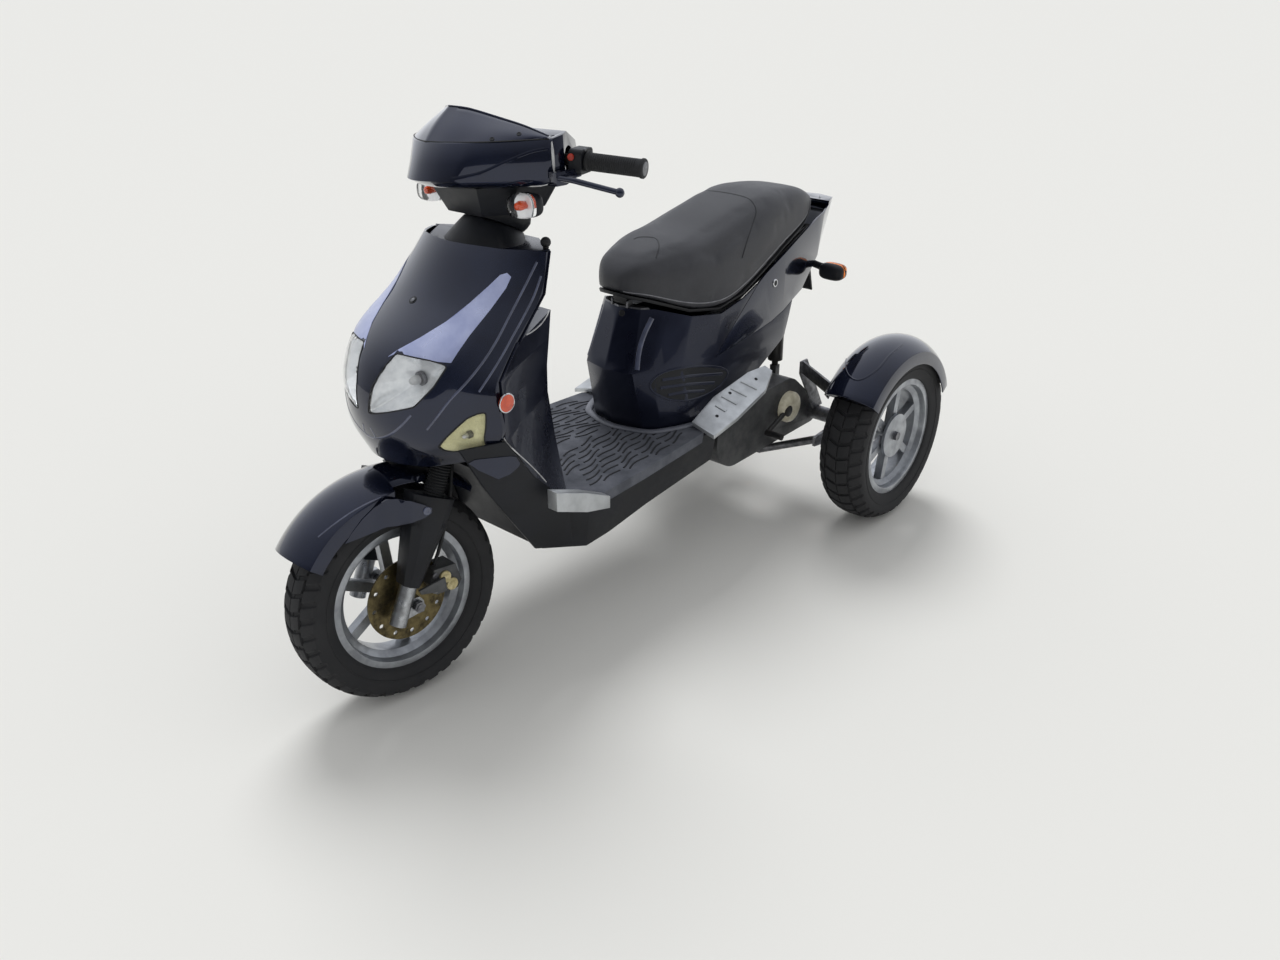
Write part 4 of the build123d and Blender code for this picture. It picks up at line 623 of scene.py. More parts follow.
def apronDepth(x, z):
    nose, sx, sy, ex, ey = sectionAt(z)
    total = 0
    spread = (-1, -0.5, 0, 0.5, 1)
    for k in spread:
        ax = abs(abs(x) + k * apron["soften"])
        if ax <= sx:
            total += nose + (sy - nose) * (ax / sx) ** 2
        else:
            total += sy + (ax - sx) * (ey - sy) / (ex - sx)
    return total / len(spread)


def apronPoint(x, z, deeper=0):
    # pushed in along the surface's own normal
    y = apronDepth(x, z)
    slopeX = (apronDepth(x + 2, z) - apronDepth(x - 2, z)) / 4
    slopeZ = (apronDepth(x, z + 2) - apronDepth(x, z - 2)) / 4
    n = Vector((-slopeX, 1, -slopeZ)).normalized() * deeper
    return still(x + n.x, y + n.y, z + n.z)


low, high = apron["sections"][0][0], apron["sections"][-1][0]
heights = [low + 8 * k for k in range(49)]
edgeLine = [(sectionAt(z)[3], z) for z in heights]
turns = [1 - k / 24 for k in range(1, 48)]
outline = edgeLine + [(sectionAt(high)[3] * u, high - apron["crest"] * abs(u) ** 3) for u in turns]
outline += [(-x, z) for x, z in reversed(edgeLine)] + [(sectionAt(low)[3] * (k / 20 - 1), low) for k in range(1, 40)]
loops = {}
for name, corners in lampOutlines.items():
    loops[name] = [tuple(p) for p in curveThrough([tuple(q) for q in rounded(corners, 9, 2)], 3, closed=True)]
holes = [[(side * x, z) for x, z in loop] for loop in loops.values() for side in (1, -1)]
flat, faces = fillOutline(outline, apron["step"], holes)
outer = [apronPoint(x, z) for x, z in flat]
inner = [apronPoint(x, z, apron["thick"]) for x, z in flat]
apronPiece = slab("frontApron", outer, inner, faces, "chassis", "gloss_black", angle=50)
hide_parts("front_apron")
for side, hand in pair:  # rolled edge, back to the leg shield
    rows = []
    for z in heights:
        ex, ey = sectionAt(z)[3:]
        start, end = apronDepth(ex, z), ey + apron["return"]
        profile = [(ex + 0.2, start - 1), (ex + 0.5, start + 2), (ex + 0.5, end), (ex - 4, end), (ex - 4.5, start + 1)]
        rows += [still(side * x, y, z) for x, y in profile]
    addPiece("apronEdge" + hand, rows, cappedFaces(len(heights), 5), "chassis", "gloss_black")
apronTree = BVHTree.FromPolygons(outer, faces)
print("apron made")

# headlamps and side lamps: clear cover, plated bowl, bulb and gasket
lamps = {
    "headlamps": dict(
        cover="clearPolycarbonate", plate="reflectorChrome", bowl=58, focus=(78, 720), bulb=11, dome=5, inner=0.22,
    ),
    "side_lamps": dict(
        cover="yellowedPolycarbonate", plate="agedBowl", bowl=16, focus=(172, 618), bulb=6, dome=3, inner=0.3,
    ),
}
for lampName, look in lamps.items():
    loop, (fx, fz) = loops[lampName], look["focus"]
    n, b = len(loop), look["bulb"]
    shares = [1.0, 0.97, 0.9, 0.8, 0.68, 0.55, 0.42, look["inner"]]
    rim = [(fx + (x - fx) * 0.985, fz + (z - fz) * 0.985) for x, z in loop]
    flat, faces = fillOutline(rim, 8)
    for side, hand in pair:
        outer, inner = [], []
        for x, z in flat:
            away = min(math.hypot(x - u, z - w) for u, w in rim)
            lift = look["dome"] * min(away / 22, 1) ** 0.5 - 0.5
            outer.append(apronPoint(side * x, z, -lift))
            inner.append(apronPoint(side * x, z, -lift + 2.4))
        cover = slab(lampName + "Cover" + hand, outer, inner, faces, "chassis", "clear_lens", look["cover"], 50)
        cover.visible_shadow = False
        if side > 0:
            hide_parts(lampName)
        gasket = [apronPoint(side * x, z, 0.3) for x, z in loop]
        addTube(lampName + "Gasket" + hand, gasket, 0.0016, "chassis", "satin_black", "darkMark", closed=True)
        rings = []
        for s in shares:
            for x, z in loop:
                u, w = fx + (x - fx) * s * 0.97, fz + (z - fz) * s * 0.97
                rings.append(still(side * u, apronDepth(u, w) + 4.5 + look["bowl"] * (1 - s * s), w))
        backs, total = [p + Vector((0, 0.0015, 0)) for p in rings], len(rings)
        bowl = gridFaces(len(shares), n, False, True) + [list(range(total - n, total))]
        bowl += [[i + total for i in reversed(f)] for f in bowl]
        bowl += [[i, (i + 1) % n, (i + 1) % n + total, i + total] for i in range(n)]
        addPiece(lampName + "Bowl" + hand, rings + backs, bowl, "chassis", "fork_alloy", look["plate"], 60)
        seat = still(side * fx, apronDepth(fx, fz) + 4 + look["bowl"] * (1 - look["inner"] ** 2), fz)
        holder = [(-2, 0), (-2, b * 1.3), (6, b * 1.3), (7, b * 0.9), (8, b * 0.9)]
        glass = [(7, b * 0.7), (10, b * 0.85), (10 + b, b * 0.8), (10 + 1.6 * b, b * 0.5), (10 + 1.8 * b, 0)]
        turnedPiece(lampName + "Holder" + hand, holder, seat, (0, -1, 0), "chassis", "fork_alloy", "zincPlate", 24)
        turnedPiece(lampName + "Bulb" + hand, glass, seat, (0, -1, 0), "chassis", "clear_lens", sides=24)
print("lamps made")

# rounded lamp pods on stalks
blinkers = {
    "front": dict(
        centre=(161, 316, 1014), halves=(33, 31, 23), face=-1, body="steering", turnTo=steered,
        slot="clear_lens", cover="clearPolycarbonate", stalk=((110, 330, 1016), (135, 322, 1014)),
    ),
    "rear": dict(
        centre=(151, 1456, 637), halves=(38, 27, 23), face=1, body="chassis", turnTo=still,
        slot="orange_lens", cover="amberPolycarbonate", stalk=((66.5, 1462, 649), (118, 1460, 641)),
    ),
}
blinker = {
    "power": 3.2, "rows": 14, "around": 40, "lens": 0.985, "stalk": [0.0125, 0.01, 0.01, 0.0115],
    "bulb": [(0, 5), (4, 6), (11, 7.5), (17, 6), (20, 1)], "dish": [(-1.5, 19), (0, 20), (1, 19)],
}


def pod(name, look, side, size, span, slot, cover=None):
    # a rounded box cut by the span of its long axis, from -1 to 1
    power, rows, around = blinker["power"], blinker["rows"], blinker["around"]
    points = []
    for i in range(rows):
        t = span[0] + (span[1] - span[0]) * i / (rows - 1)
        scale = max(1 - abs(t) ** power, 1e-5) ** (1 / power)
        for c, s in circle(around):
            u = math.copysign(abs(c) ** (2 / power), c) * scale
            w = math.copysign(abs(s) ** (2 / power), s) * scale
            x, y, z = look["centre"]
            hx, hy, hz = (size * h for h in look["halves"])
            points.append(look["turnTo"](side * x + hx * u, y + hy * t, z + hz * w))
    return addPiece(name, points, cappedFaces(rows, around), look["body"], slot, cover, 50)


for where, look in blinkers.items():
    (x, y, z), f, body, turnTo = look["centre"], look["face"], look["body"], look["turnTo"]
    for side, hand in pair:
        shell = pod(f"{where}BlinkerBack{hand}", look, side, 1, (-0.15 * f, 0.999 * -f), "satin_black")
        span = (0.999 * f, -0.12 * f)
        cover = pod(f"{where}BlinkerLens{hand}", look, side, blinker["lens"], span, look["slot"], look["cover"])
        cover.visible_shadow = False
        bulbSeat = turnTo(side * x, y - 2 * f, z)
        ahead = turnTo(side * x, y + f, z) - turnTo(side * x, y, z)
        turnedPiece(f"{where}BlinkerBulb{hand}", blinker["bulb"], bulbSeat, ahead, body, "orange_lens", sides=24)
        dish = blinker["dish"]
        turnedPiece(f"{where}BlinkerDish{hand}", dish, bulbSeat, ahead, body, "fork_alloy", "reflectorChrome")
        p, q = [turnTo(side * v[0], v[1], v[2]) for v in look["stalk"]]
        line = [p, p.lerp(q, 0.35), p.lerp(q, 0.7), q]
        addTube(f"{where}BlinkerStalk{hand}", line, blinker["stalk"], body, "satin_black", sides=20)
        if side > 0:
            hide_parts(f"{where}_blinkers")
print("indicators made")

# seat
seat = {
    # y, half width, low, high
    "stations": [
        (698, 24, 722, 760), (715, 54, 715, 784), (750, 84, 704, 804), (850, 126, 664, 824), (950, 140, 647, 836),
        (1050, 138, 661, 858), (1160, 132, 702, 879), (1250, 122, 735, 885), (1370, 102, 768, 871),
        (1450, 70, 788, 845), (1528, 22, 800, 816),
    ],
    # half of a section, as shares of its half width and height: flat foot, sides leaning in, crowned top
    "section": [
        (0, 0), (0.6, 0), (0.97, 0.0), (1.0, 0.1), (1.0, 0.34), (0.96, 0.66), (0.86, 0.88), (0.66, 0.97),
        (0.35, 0.995), (0, 1),
    ],
    "foot": 8.6, "voxel": 0.006, "pressure": 4, "frames": 20, "cap": 0.004,
}


def seatRing(y, half, low, high):
    foot = low + seat["foot"]
    halfLine = [((half - 1) * u if u < 1 else half - 0.5, foot + (high - foot) * v) for u, v in seat["section"]]
    whole = halfLine + [(-u, v) for u, v in reversed(halfLine[1:-1])]
    return [still(u, y, v) for u, v in curveThrough(whole, 3, closed=True)]


rings = [seatRing(*row) for row in curveThrough(seat["stations"], 5)]
faces = cappedFaces(len(rings), len(rings[0]))
cushion = addPiece("seatCushion", [p for ring in rings for p in ring], faces, "seat", "seat_vinyl", angle=60)
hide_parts("seat_cushion")
remesh = cushion.modifiers.new("voxels", "REMESH")
remesh.mode = "VOXEL"
remesh.voxel_size = seat["voxel"]
remesh.use_smooth_shade = True


def takeEvaluated(piece):
    state = bpy.context.evaluated_depsgraph_get()
    fresh = bpy.data.meshes.new_from_object(piece.evaluated_get(state))
    piece.modifiers.clear()
    piece.data = fresh


takeEvaluated(cushion)
before = [v.co.copy() for v in cushion.data.vertices]
cloth = cushion.modifiers.new("foam", "CLOTH")
cloth.settings.use_pressure = True
cloth.settings.uniform_pressure_force = seat["pressure"]
cloth.settings.effector_weights.gravity = 0
cloth.settings.quality = 6
for k in range(1, seat["frames"] + 1):
    scene.frame_set(k)
takeEvaluated(cushion)
for vertex, start in zip(cushion.data.vertices, before):
    move = vertex.co - start
    if move.length > seat["cap"]:
        move = move.normalized() * seat["cap"]
    move.z = max(move.z, 0)
    vertex.co = start + move
scene.frame_set(1)
work = bmesh.new()
work.from_mesh(cushion.data)
for k in range(6):
    bmesh.ops.smooth_vert(work, verts=work.verts, factor=0.5, use_axis_x=True, use_axis_y=True, use_axis_z=True)
work.to_mesh(cushion.data)
work.free()
fine = cushion.modifiers.new("fine", "SUBSURF")
fine.levels = fine.render_levels = 1
takeEvaluated(cushion)
smooth(cushion.data, 180)
cushionTree = treeOf(cushion)
print("seat made:", len(cushion.data.polygons), "faces")

piping = []
for y, half, low, high in curveThrough(seat["stations"], 4)[2:-2]:
    at = low + seat["foot"] + 0.1 * (high - low)
    start, target = still(400, y, at), still(0, y, at)
    hit, normal = cushionTree.ray_cast(start, (target - start).normalized())[:2]
    if hit:
        piping.append(hit - normal * 0.0006)
for side, hand in pair:
    addTube("seatPiping" + hand, mirrored(piping, side), 0.0017, "seat", "seat_vinyl", "pipingVinyl")
seamLines = {
    "seatStepSeam": [(700, 190), (722, 192), (745, 197), (753, 203), (756, 212), (752, 226), (746, 244), (742, 258)],
    "seatFrontSeam": [(634, 239), (640, 237), (655, 238), (659, 246), (656, 258)],
}
for name, pixels in seamLines.items():
    seenLine(name, pixels, cushionTree, 1.9, "seat", "seat_vinyl", "darkMark", single, flat=0.5)
print("seat trimmed")

# stripes, seams and small fittings laid on the panels
baseTree, tailTree = treeOf(nodes["seat_base"]), treeOf(nodes["tail_sides"])
cheekTree, edgeTree = treeOf(nodes["front_cheeks"]), treeOf(nodes["inner_shield"], nodes["front_cheeks"])
swoosh = [
    (388, 357), (398, 350), (420, 338), (446, 322), (470, 303), (490, 285), (500, 275), (507, 273), (511, 277),
    (506, 288), (490, 310), (470, 335), (458, 352), (451, 363), (438, 362), (415, 357),
]
laid("swooshStripe", swoosh, apronTree, "chassis", "gloss_black", "swooshFoil", step=3.4, thick=1.1)
# pale beads along the apron's creases and the beak under the headlamp: painted highlight
creaseHighlights = [
    [(537, 262), (524, 288), (510, 315), (497, 340), (483, 362), (467, 382), (450, 400), (437, 417), (427, 430)],
    [(541, 276), (534, 296), (524, 316), (513, 336), (502, 356), (491, 374), (479, 392)],
    [(363, 424), (366, 434), (376, 438), (389, 435), (401, 426), (411, 415)],
]
for k, pixels in enumerate(creaseHighlights):
    seenLine(f"apronCrease{k}", pixels, apronTree, 2.4, "chassis", "gloss_black", "sideCrease", flat=0.3)
screw = {
    "hole": [(-1, 9), (0.5, 9), (0.9, 8), (0.4, 6.5), (0.4, 0)], "head": [(0, 5), (1.6, 5), (2.2, 4), (2.2, 0)],
}
lock = {
    "ring": [(-1, 11), (1, 11), (2.4, 10), (2.4, 7.5), (0.6, 7), (0.6, 0)],
    "barrel": [(0, 6.6), (1.6, 6.6), (2, 6), (2, 0)],
}
fitting("apronScrew", (413, 300), screw["hole"], apronTree, "chassis", "zinc_steel", "darkMark", 28)
fitting("apronScrewHead", (413, 300), screw["head"], apronTree, "chassis", "zinc_steel")
# pale bead along the ridge on the seat base's side: painted highlight
ridge = [(652, 318), (644, 335), (639, 352), (637, 370)]
seenLine("sideRidgeHighlight", ridge, baseTree, 6, "chassis", "gloss_black", "sideCrease", flat=0.45)
fitting("seatLock", (775, 283), lock["ring"], tailTree, "chassis", "fork_alloy", "chromePlate", 32)
fitting("lockBarrel", (775, 283), lock["barrel"], tailTree, "chassis", "zinc_steel", "darkMark", 28)
catch = [(-1, 8), (0.8, 8), (1.2, 7), (0.3, 6), (0.3, 0)]
fitting("baseCatch", (622, 313), catch, baseTree, "chassis", "satin_black", "darkMark")
louvre = [(650, 386), (664, 372), (700, 366), (727, 371), (716, 389), (690, 400), (665, 398)]
louvreLoop = [tuple(p) for p in curveThrough(louvre, 4, closed=True)]
seenLine("louvreFrame", louvre, baseTree, 3.2, "chassis", "gloss_black", "glossMoulding", closed=True, flat=0.6)
laid("louvrePanel", louvreLoop, baseTree, "chassis", "satin_black", thick=0.6)
blades = [((662, 380), (722, 374)), ((660, 388), (714, 383)), ((668, 395), (704, 391))]
for k, ((ax, ay), (bx, by)) in enumerate(blades):
    pixels = [(ax, ay), ((ax + bx) / 2, (ay + by) / 2 - 1), (bx, by)]
    seenLine(f"louvre{k}", pixels, baseTree, 4.5, "chassis", "gloss_black", "glossMoulding", flat=0.55)
wing = [(461, 462), (480, 459), (510, 456), (542, 451), (528, 463), (510, 474), (498, 479), (478, 470)]
laid("wingPanel", wing, cheekTree, "chassis", "gloss_black", step=4, thick=1.5)
scuff = [(499, 428), (506, 441), (516, 452), (527, 462), (538, 473), (546, 482)]
seenLine("scuffedEdge", scuff, edgeTree, 1.5, "chassis", "satin_black", "paleTrim")
# pale bead along the glove pocket's rim: painted highlight
pocketHighlight = [(526, 335), (533, 331), (541, 324), (546, 317), (549, 311)]
seenLine("pocketRimHighlight", pocketHighlight, edgeTree, 1.6, "chassis", "satin_black", "paleTrim")
print("panels trimmed")

# handlebar cowl and dark screen
cowl = {
    # height, nose y, shoulder x and y, edge x and y
    "sections": [
        (1046, 226, 100, 276, 176, 345), (1054, 200, 97, 246, 196, 348), (1066, 180, 92, 226, 206, 350),
        (1096, 196, 104, 243, 206, 353), (1132, 213, 118, 262, 206, 356), (1134, 216, 116, 264, 204, 357),
    ],
    "back": 361.5,
}
rows = []
for z, nose, sx, sy, ex, ey in cowl["sections"]:
    half = [
        (0, nose), (0.4 * sx, nose + 0.16 * (sy - nose)), (0.75 * sx, nose + 0.55 * (sy - nose)), (sx, sy),
        (0.5 * (sx + ex), 0.5 * (sy + ey)), (ex, ey),
    ]
    line = curveThrough([(-x, y) for x, y in reversed(half[1:])] + half, 5)
    rows.append([steered(x, y, z) for x, y in [(-ex, cowl["back"])] + line + [(ex, cowl["back"])]])
faces = cappedFaces(len(rows), len(rows[0]))
cowlPiece = addPiece("handlebarCowl", [p for row in rows for p in row], faces, "steering", "gloss_black", angle=50)
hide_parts("cowl")
screen = {
    "base": [(0, 214.5), (40, 223), (80, 240), (118, 263), (160, 306), (203, 356)],
    "top": [(0, 276, 1192), (30, 289, 1189), (52, 300, 1184), (100, 322, 1170), (150, 341, 1156), (201, 356, 1139)],
    "foot": 1134.2, "thick": 3.5, "rows": 9, "belly": 5,
}
foot, count, baseLine = screen["foot"], screen["rows"], curveThrough(screen["base"], 6)
rows = []
for (bx, by), (tx, ty, tz) in zip(baseLine, curveThrough(screen["top"], 6)):
    column = []
    for k in range(count):
        u = k / (count - 1)
        belly = screen["belly"] * math.sin(math.pi * u)
        column.append((bx + (tx - bx) * u + 0.5 * belly, by + (ty - by) * u - belly, foot + (tz - foot) * u))
    rows.append(column)
rows = [[(-x, y, z) for x, y, z in row] for row in reversed(rows[1:])] + rows
outer = [steered(*p) for row in rows for p in row]
inner = [steered(x * 0.985, y + screen["thick"], z - 0.4) for row in rows for x, y, z in row]
faces = gridFaces(len(rows), count)
screenPiece = slab("windScreen", outer, inner, faces, "steering", "dark_screen", angle=40)
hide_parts("windscreen")
screenTree = BVHTree.FromPolygons(outer, faces)
seam = [steered(x, y - 0.6, foot) for x, y in [(-x, y) for x, y in reversed(baseLine)] + baseLine[1:]]
addTube("screenSeam", seam, 0.0012, "steering", "dark_screen", "darkMark", sides=6)
addTube("screenRim", [steered(*row[-1]) for row in rows], 0.0019, "steering", "dark_screen")
for k, pixel in enumerate([(492, 139), (519, 134)]):
    profile = [(-1, 4.6), (0.6, 4.6), (1.2, 3.6), (0.5, 2.4), (0.5, 0)]
    fitting(f"screenScrew{k}", pixel, profile, screenTree, "steering", "zinc_steel", "darkMark", 20)
for side, hand in pair:  # pale strips on the outer ends of the cowl, thinnest at top and bottom
    strip = [steered(side * 206.6, 358.5, z) for z in (1070, 1085, 1100, 1115, 1129)]
    radii = [0.001, 0.0028, 0.003, 0.0028, 0.001]
    addTube("cowlEnd" + hand, strip, radii, "steering", "gloss_black", "paleTrim")
crease = [(452, 179), (480, 173), (505, 162), (530, 152), (549, 148)]
seenLine("cowlCrease", crease, treeOf(cowlPiece), 3.2, "steering", "gloss_black", copies=single, flat=0.5)

# a dark boot below the neck, round about the stem, and a fixed collar that it turns on
boot = [(0, 70), (-10, 72), (-22, 68), (-30, 63), (-30.5, 60)]
turnedPiece("neckBoot", boot, alongStem(0, 832, 0), steerAxis, "steering", "satin_black", sides=56)
collar = {"radius": 63, "distance": 799.5, "foot": (98, 322, 70, 928), "wall": 3, "sides": 56, "belly": 0.004}
fx, fy, fl, fz = collar["foot"]
rows, steps = [], (0, 0.3, 0.6, 0.85, 1)
for shrink, order in ((0, steps), (collar["wall"], steps[::-1])):
    r = collar["radius"] - shrink
    for u in order:
        for c, s in circle(collar["sides"]):
            top, low = alongStem(r * c, collar["distance"], r * s), still((fx - shrink) * c, fy + (fl - shrink) * s, fz)
            rows.append(low.lerp(top, u) + Vector((0, 0, collar["belly"] * math.sin(math.pi * u))))
faces = gridFaces(2 * len(steps), collar["sides"], True, True)
addPiece("neckCollar", rows, faces, "chassis", "satin_black", angle=60)
print("cowl and screen made")

# handlebar fittings
bar = {"back": 402.9, "height": 1090.75, "from": (205, 2, 0), "to": (340, 64, -15), "inner": 234, "outer": 341}


def onBar(side, x):
    (ax, ay, az), (bx, by, bz) = bar["from"], bar["to"]
    u = (x - ax) / (bx - ax)
    return steered(side * x, bar["back"] + ay + u * (by - ay), bar["height"] + az + u * (bz - az))


for side, hand in pair:
    start, end = onBar(side, bar["inner"]), onBar(side, bar["outer"])
    way = end - start
    long = way.length * 1000
    profile = [(0, 12), (0, 18.5), (3, 19.5), (5, 19.5), (6.5, 17)]
    z = 8
    while z < long - 14:
        profile += [(z, 16.9), (z + 0.9, 15.9), (z + 2.1, 15.9), (z + 3, 16.9)]
        z += 4.4
    profile += [(long - 8, 17), (long - 6, 18.6), (long - 1.5, 18.6), (long, 17), (long, 12)]
    grip = turnedPiece("grip" + hand, profile, start, way, "steering", "grip_rubber", sides=40)
    if side > 0:
        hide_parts("grips")
    cap = [(-1, 13), (0.8, 13), (1.4, 12), (1.4, 0)]
    turnedPiece("gripCap" + hand, cap, end, way, "steering", "grip_rubber", "zincPlate")
podTree = treeOf(nodes["switch_pods"])
button = [(-2, 6.5), (3, 6.5), (4, 5.3), (4, 0)]
fitting("starterButton", (571, 157), button, podTree, "steering", "orange_lens", "redPlastic")
fitting("podScrew", (585, 150), [(-2, 4), (0.5, 4), (1.5, 2.8), (1.5, 0)], podTree, "steering", "zinc_steel")
print("handlebar fitted")

# fork gaiters and caliper caps
gaiter = {"foot": 236, "length": 101, "rings": 35, "back": -30, "radii": (0.0195, 0.0225)}
for side, hand in pair:
    ups = [gaiter["foot"] + gaiter["length"] * k / (gaiter["rings"] - 1) for k in range(gaiter["rings"])]
    line = [alongStem(side * place["legs"], distance, gaiter["back"]) for distance in ups]
    radii = [gaiter["radii"][k % 2] for k in range(gaiter["rings"])]
    addTube("forkGaiter" + hand, line, radii, "steering", "grip_rubber", sides=28)
caliperFace = 82
for name, y, z, radius, look in (
    ("caliperCapUpper", 78, 32, 14, "yellowPassivate"), ("caliperCapLower", 92, 10, 14, "yellowPassivate"),
    ("caliperBoltUpper", 55, 44, 7, "zincPlate"), ("caliperBoltLower", 50, 12, 8, "zincPlate"),
):
    profile = [(-3, radius), (4, radius), (5.2, radius - 1.4), (5.2, radius * 0.5), (4.4, radius * 0.42), (4.4, 0)]
    seat = steered(caliperFace, y, place["crown"] + z)
    turnedPiece(name, profile, seat, across, "steering", "zinc_steel", look, 28)

# ears of the front mudguard, which reach round the leg shrouds to their screws
ear = {
    "outline": [
        (345, 544), (352, 533), (362, 520), (374, 508), (386, 500), (397, 499), (410, 501), (424, 505), (432, 508),
        (432, 513), (425, 518), (412, 523), (398, 526), (388, 527), (378, 531), (368, 535), (356, 540),
    ],
    "start": 374, "end": 412, "near": 77.4, "far": 118.5, "wall": 2.4, "screw": (427, 511),
    "profile": [(-2, 9), (1.4, 9), (2.4, 8), (2.4, 3.5), (1.7, 3), (1.7, 0)],
    "drop": 14, "ease": 8,  # mm lower at the right, where it stays behind the mudguard in the photograph
}
flat, faces = fillOutline(ear["outline"], 4)
ears = []
for px, py in flat:
    way = min(max((px - ear["start"]) / (ear["end"] - ear["start"]), 0), 1)
    ears.append(onSteeredPlane(px, py, ear["near"] + (ear["far"] - ear["near"]) * way * way * (3 - 2 * way)))
ears.append(onSteeredPlane(*ear["screw"], ear["far"]))
for side, hand in pair:
    if side < 0:
        for k, p in enumerate(ears):
            reach = (p - stemFoot).dot(across)
            lower = ear["drop"] / 1000 * min(max((reach * 1000 - ear["near"]) / ear["ease"], 0), 1)
            ears[k] = p - across * 2 * reach - steerAxis * lower
    inner = [p - across * side * ear["wall"] / 1000 for p in ears[:-1]]
    slab("guardEar" + hand, ears[:-1], inner, faces, "steering", "gloss_black")
    turnedPiece(
        "guardScrew" + hand, ear["profile"], ears[-1], across * side, "steering", "zinc_steel", "sideCrease", 28,
    )
# pale bead along the front mudguard's crease: painted highlight
crease = [(318, 537), (333, 525), (350, 513), (366, 504), (381, 497)]
guardTree = treeOf(nodes["front_guard"])
seenLine("guardCreaseHighlight", crease, guardTree, 1.6, "steering", "gloss_black", "sideCrease", single, flat=0.6)
print("fork fitted")

# flange round the seat base's foot, tread plate ribs, reflector rims
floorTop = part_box("floorboard")[1].z * 1000
flange = [(0, 690), (88, 712), (120, 742), (150, 805), (157, 840), (155, 885)]
flange = [(-x, y) for x, y in flange[:0:-1]] + flange
line = [still(x, y, floorTop + 1.5) for x, y in curveThrough(flange, 6)]
addTube("footFlange", line, 0.01, "chassis", "floor_grey", "footMoulding", sides=16, flat=0.55, up=(0, 0, 1))
plateTree = treeOf(nodes["foot_plates"])
ribs = [[(716, 405), (726, 411)], [(722, 396), (737, 404)], [(731, 388), (747, 396)], [(741, 381), (757, 389)]]
for k, pixels in enumerate(ribs):
    seenLine(f"plateRib{k}", pixels, plateTree, 6, "chassis", "tread_alloy", flat=0.6)
for k, pixel in enumerate([(717, 416), (730, 393), (756, 379)]):
    profile = [(-1, 4.5), (0.5, 4.5), (0.9, 3.8), (0.2, 2.8), (0.2, 0)]
    fitting(f"plateScrew{k}", pixel, profile, plateTree, "chassis", "zinc_steel", "darkMark", 20, pair)
reflector = {"y": 162, "z": 676, "radius": 18.6, "edge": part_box("side_reflectors")[1].x * 1000 - 1.5}
for side, hand in pair:
    ring = []
    for c, s in circle(40):
        y, z = reflector["y"] + reflector["radius"] * c, reflector["z"] + reflector["radius"] * s
        ring.append(still(side * reflector["edge"], y, z))
    addTube("reflectorRim" + hand, ring, 0.0017, "chassis", "fork_alloy", "chromePlate", closed=True)
cap = [(-6, 44), (13, 44), (19, 41), (23, 33), (24, 20), (24, 0)]
turnedPiece("crankCap", cap, still(160, 1246, 299), (1, 0, 0), "chassis", "engine_alloy", "agedEnamel", 44)
crease = [(850, 350), (845, 364), (849, 376), (860, 380), (877, 370), (890, 355), (903, 344)]
seenLine("rearGuardCrease", crease, treeOf(nodes["rear_guards"]), 3, "chassis", "gloss_black", flat=0.6)
print("floor edge fitted")

# speedometer in the slope of the dash
dial = {"y": 428, "z": 1130.5, "slope": (0.447, 0.894), "ticks": 13, "first": -120, "sweep": 240, "reading": 2.4}
dialSeat = steered(0, dial["y"], dial["z"])
dialUp = (steered(0, dial["y"] + dial["slope"][0], dial["z"] + dial["slope"][1]) - dialSeat).normalized()
dialRight = (steered(1, dial["y"], dial["z"]) - dialSeat).normalized()
dialFar = dialUp.cross(dialRight).normalized()
bezel = [(-2, 31), (1.5, 31), (3, 29.5), (3, 28), (1.2, 27), (1.2, 0)]
face = [(1.0, 26.8), (1.5, 26.8), (1.6, 26), (1.6, 0)]
turnedPiece("dialBezel", bezel, dialSeat, dialUp, "steering", "satin_black", sides=48)
turnedPiece("dialFace", face, dialSeat, dialUp, "steering", "satin_black", "darkMark", 48)
ticks, tickFaces = [], []
for k in range(dial["ticks"] + 1):  # the last one is the needle
    needle = k == dial["ticks"]
    turn = math.radians(dial["first"] + dial["sweep"] * (dial["reading"] if needle else k) / (dial["ticks"] - 1))
    far, wide, near = (20, 0.8, -3) if needle else (24, 0.5, 21.5 if k % 2 else 19)
    out = -dialFar * math.cos(turn) + dialRight * math.sin(turn)
    side = out.cross(dialUp)
    base = len(ticks)
    for height in (1.7, 2.1):
        for r, w in ((near, wide), (far, wide), (far, -wide), (near, -wide)):
            ticks.append(dialSeat + (out * r + side * w + dialUp * height) / 1000)
    box = ((0, 1, 2, 3), (7, 6, 5, 4), (0, 4, 5, 1), (1, 5, 6, 2), (2, 6, 7, 3), (3, 7, 4, 0))
    tickFaces += [[base + i for i in f] for f in box]
addPiece("dialMarks", ticks, tickFaces, "steering", "clear_lens", "dialPrint")
print("dial made")

# floor mat ribs
random.seed(7)
mat = {
    "spacing": 19, "front": 410, "back": 800, "first": 14, "last": 206, "radius": 0.0026, "wave": 5,
    "length": 70, "gap": 14, "steps": 9, "slant": -0.2, "middle": 600, "narrow": 6, "wide": 200,
}
ribs, ribFaces = [], []
for side in (1, -1):
    x, row = mat["first"], 0
    while x < mat["last"]:
        y = mat["front"] + (row * 37) % 50
        while y < mat["back"] - 40:
            length = mat["length"] * random.uniform(0.7, 1.3)
            line = []
            for k in range(mat["steps"]):
                v = y + length * k / (mat["steps"] - 1)
                u = x + mat["slant"] * (v - mat["middle"]) + mat["wave"] * math.sin(v / 17 + row)
                if v < mat["back"] and mat["narrow"] < u < mat["wide"]:
                    line.append(still(side * u, v, floorTop + 0.2))
            if len(line) > 4:
                points, faces = tubeAlong(line, mat["radius"], 6, up=(0, 0, 1), flat=0.6)
                ribFaces += [[len(ribs) + i for i in f] for f in faces]
                ribs += points
            y += length + mat["gap"]
        x += mat["spacing"]
        row += 1
addPiece("floorRibs", ribs, ribFaces, "chassis", "floor_grey", "treadGroove")
print("floor ribbed")

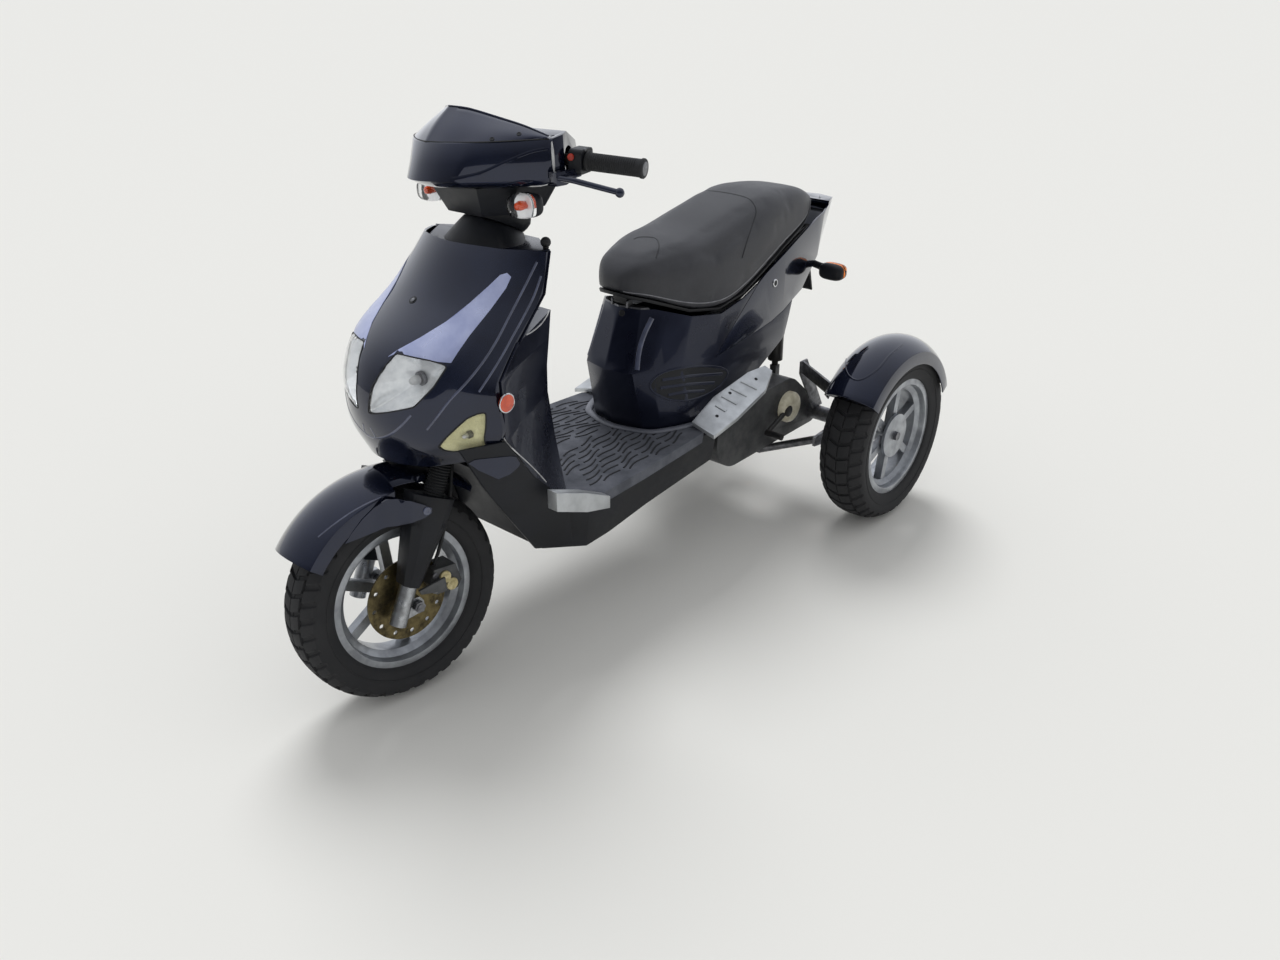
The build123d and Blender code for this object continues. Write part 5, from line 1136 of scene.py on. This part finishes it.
# soft studio
studio = {
    "floor": "#e9e9e6", "half": 60, "sun": 1.5, "turn": (-33, 0, 50), "soft": 0.5, "bright": (-0.45, 0.6, 0.66),
    "sky": ("#ffffff", 0.62), "mirror": "#eef1f7", "pale": ("#f2f2f0", 1.0),
}
h = studio["half"]
groundMesh = bpy.data.meshes.new("studioFloor")
groundMesh.from_pydata([(-h, -h, 0), (h, -h, 0), (h, h, 0), (-h, h, 0)], [], [(0, 1, 2, 3)])
paper = bpy.data.materials.new("backdropPaper")
paper.use_nodes = True
sockets = paper.node_tree.nodes["Principled BSDF"].inputs
sockets["Base Color"].default_value = hexColour(studio["floor"])
sockets["Roughness"].default_value = 0.9
sockets["Specular IOR Level"].default_value = 0.1
groundMesh.materials.append(paper)
shown("studioFloor", groundMesh)
world = bpy.data.worlds.new("studio")
scene.world = world
world.use_nodes = True
t = world.node_tree
t.nodes.clear()
rays = addNode(t, "ShaderNodeLightPath").outputs
direct = {0: rays["Is Camera Ray"], 1: rays["Is Transmission Ray"]}
seenBy = addNode(t, "ShaderNodeMath", {"operation": "MAXIMUM"}, direct)
direction = addNode(t, "ShaderNodeTexCoord").outputs["Generated"]
brightSide = {"operation": "DOT_PRODUCT", 1: studio["bright"]}
towards = addNode(t, "ShaderNodeVectorMath", brightSide, {0: direction}).outputs["Value"]
ramp = {"From Min": -0.5, "From Max": 0.9, "To Min": 0.12, "To Max": 1.15}
glow = addNode(t, "ShaderNodeMapRange", ramp, {"Value": towards}).outputs["Result"]
plain, pale = (
    addNode(t, "ShaderNodeBackground", {"Color": hexColour(colour), "Strength": strength})
    for colour, strength in (studio["sky"], studio["pale"])
)
mirror = addNode(t, "ShaderNodeBackground", {"Color": hexColour(studio["mirror"])}, {"Strength": glow})
first = addNode(t, "ShaderNodeMixShader", {}, {0: rays["Is Glossy Ray"], 1: plain.outputs[0], 2: mirror.outputs[0]})
second = addNode(t, "ShaderNodeMixShader", {}, {0: seenBy.outputs[0], 1: first.outputs[0], 2: pale.outputs[0]})
addNode(t, "ShaderNodeOutputWorld", {}, {"Surface": second.outputs[0]})
sun = shown("softSun", bpy.data.lights.new("softSun", "SUN"))
sun.data.energy = studio["sun"]
sun.data.angle = studio["soft"]
sun.rotation_euler = [math.radians(v) for v in studio["turn"]]
sun.visible_glossy = False
scene.view_settings.view_transform = "Standard"
print("studio lit")
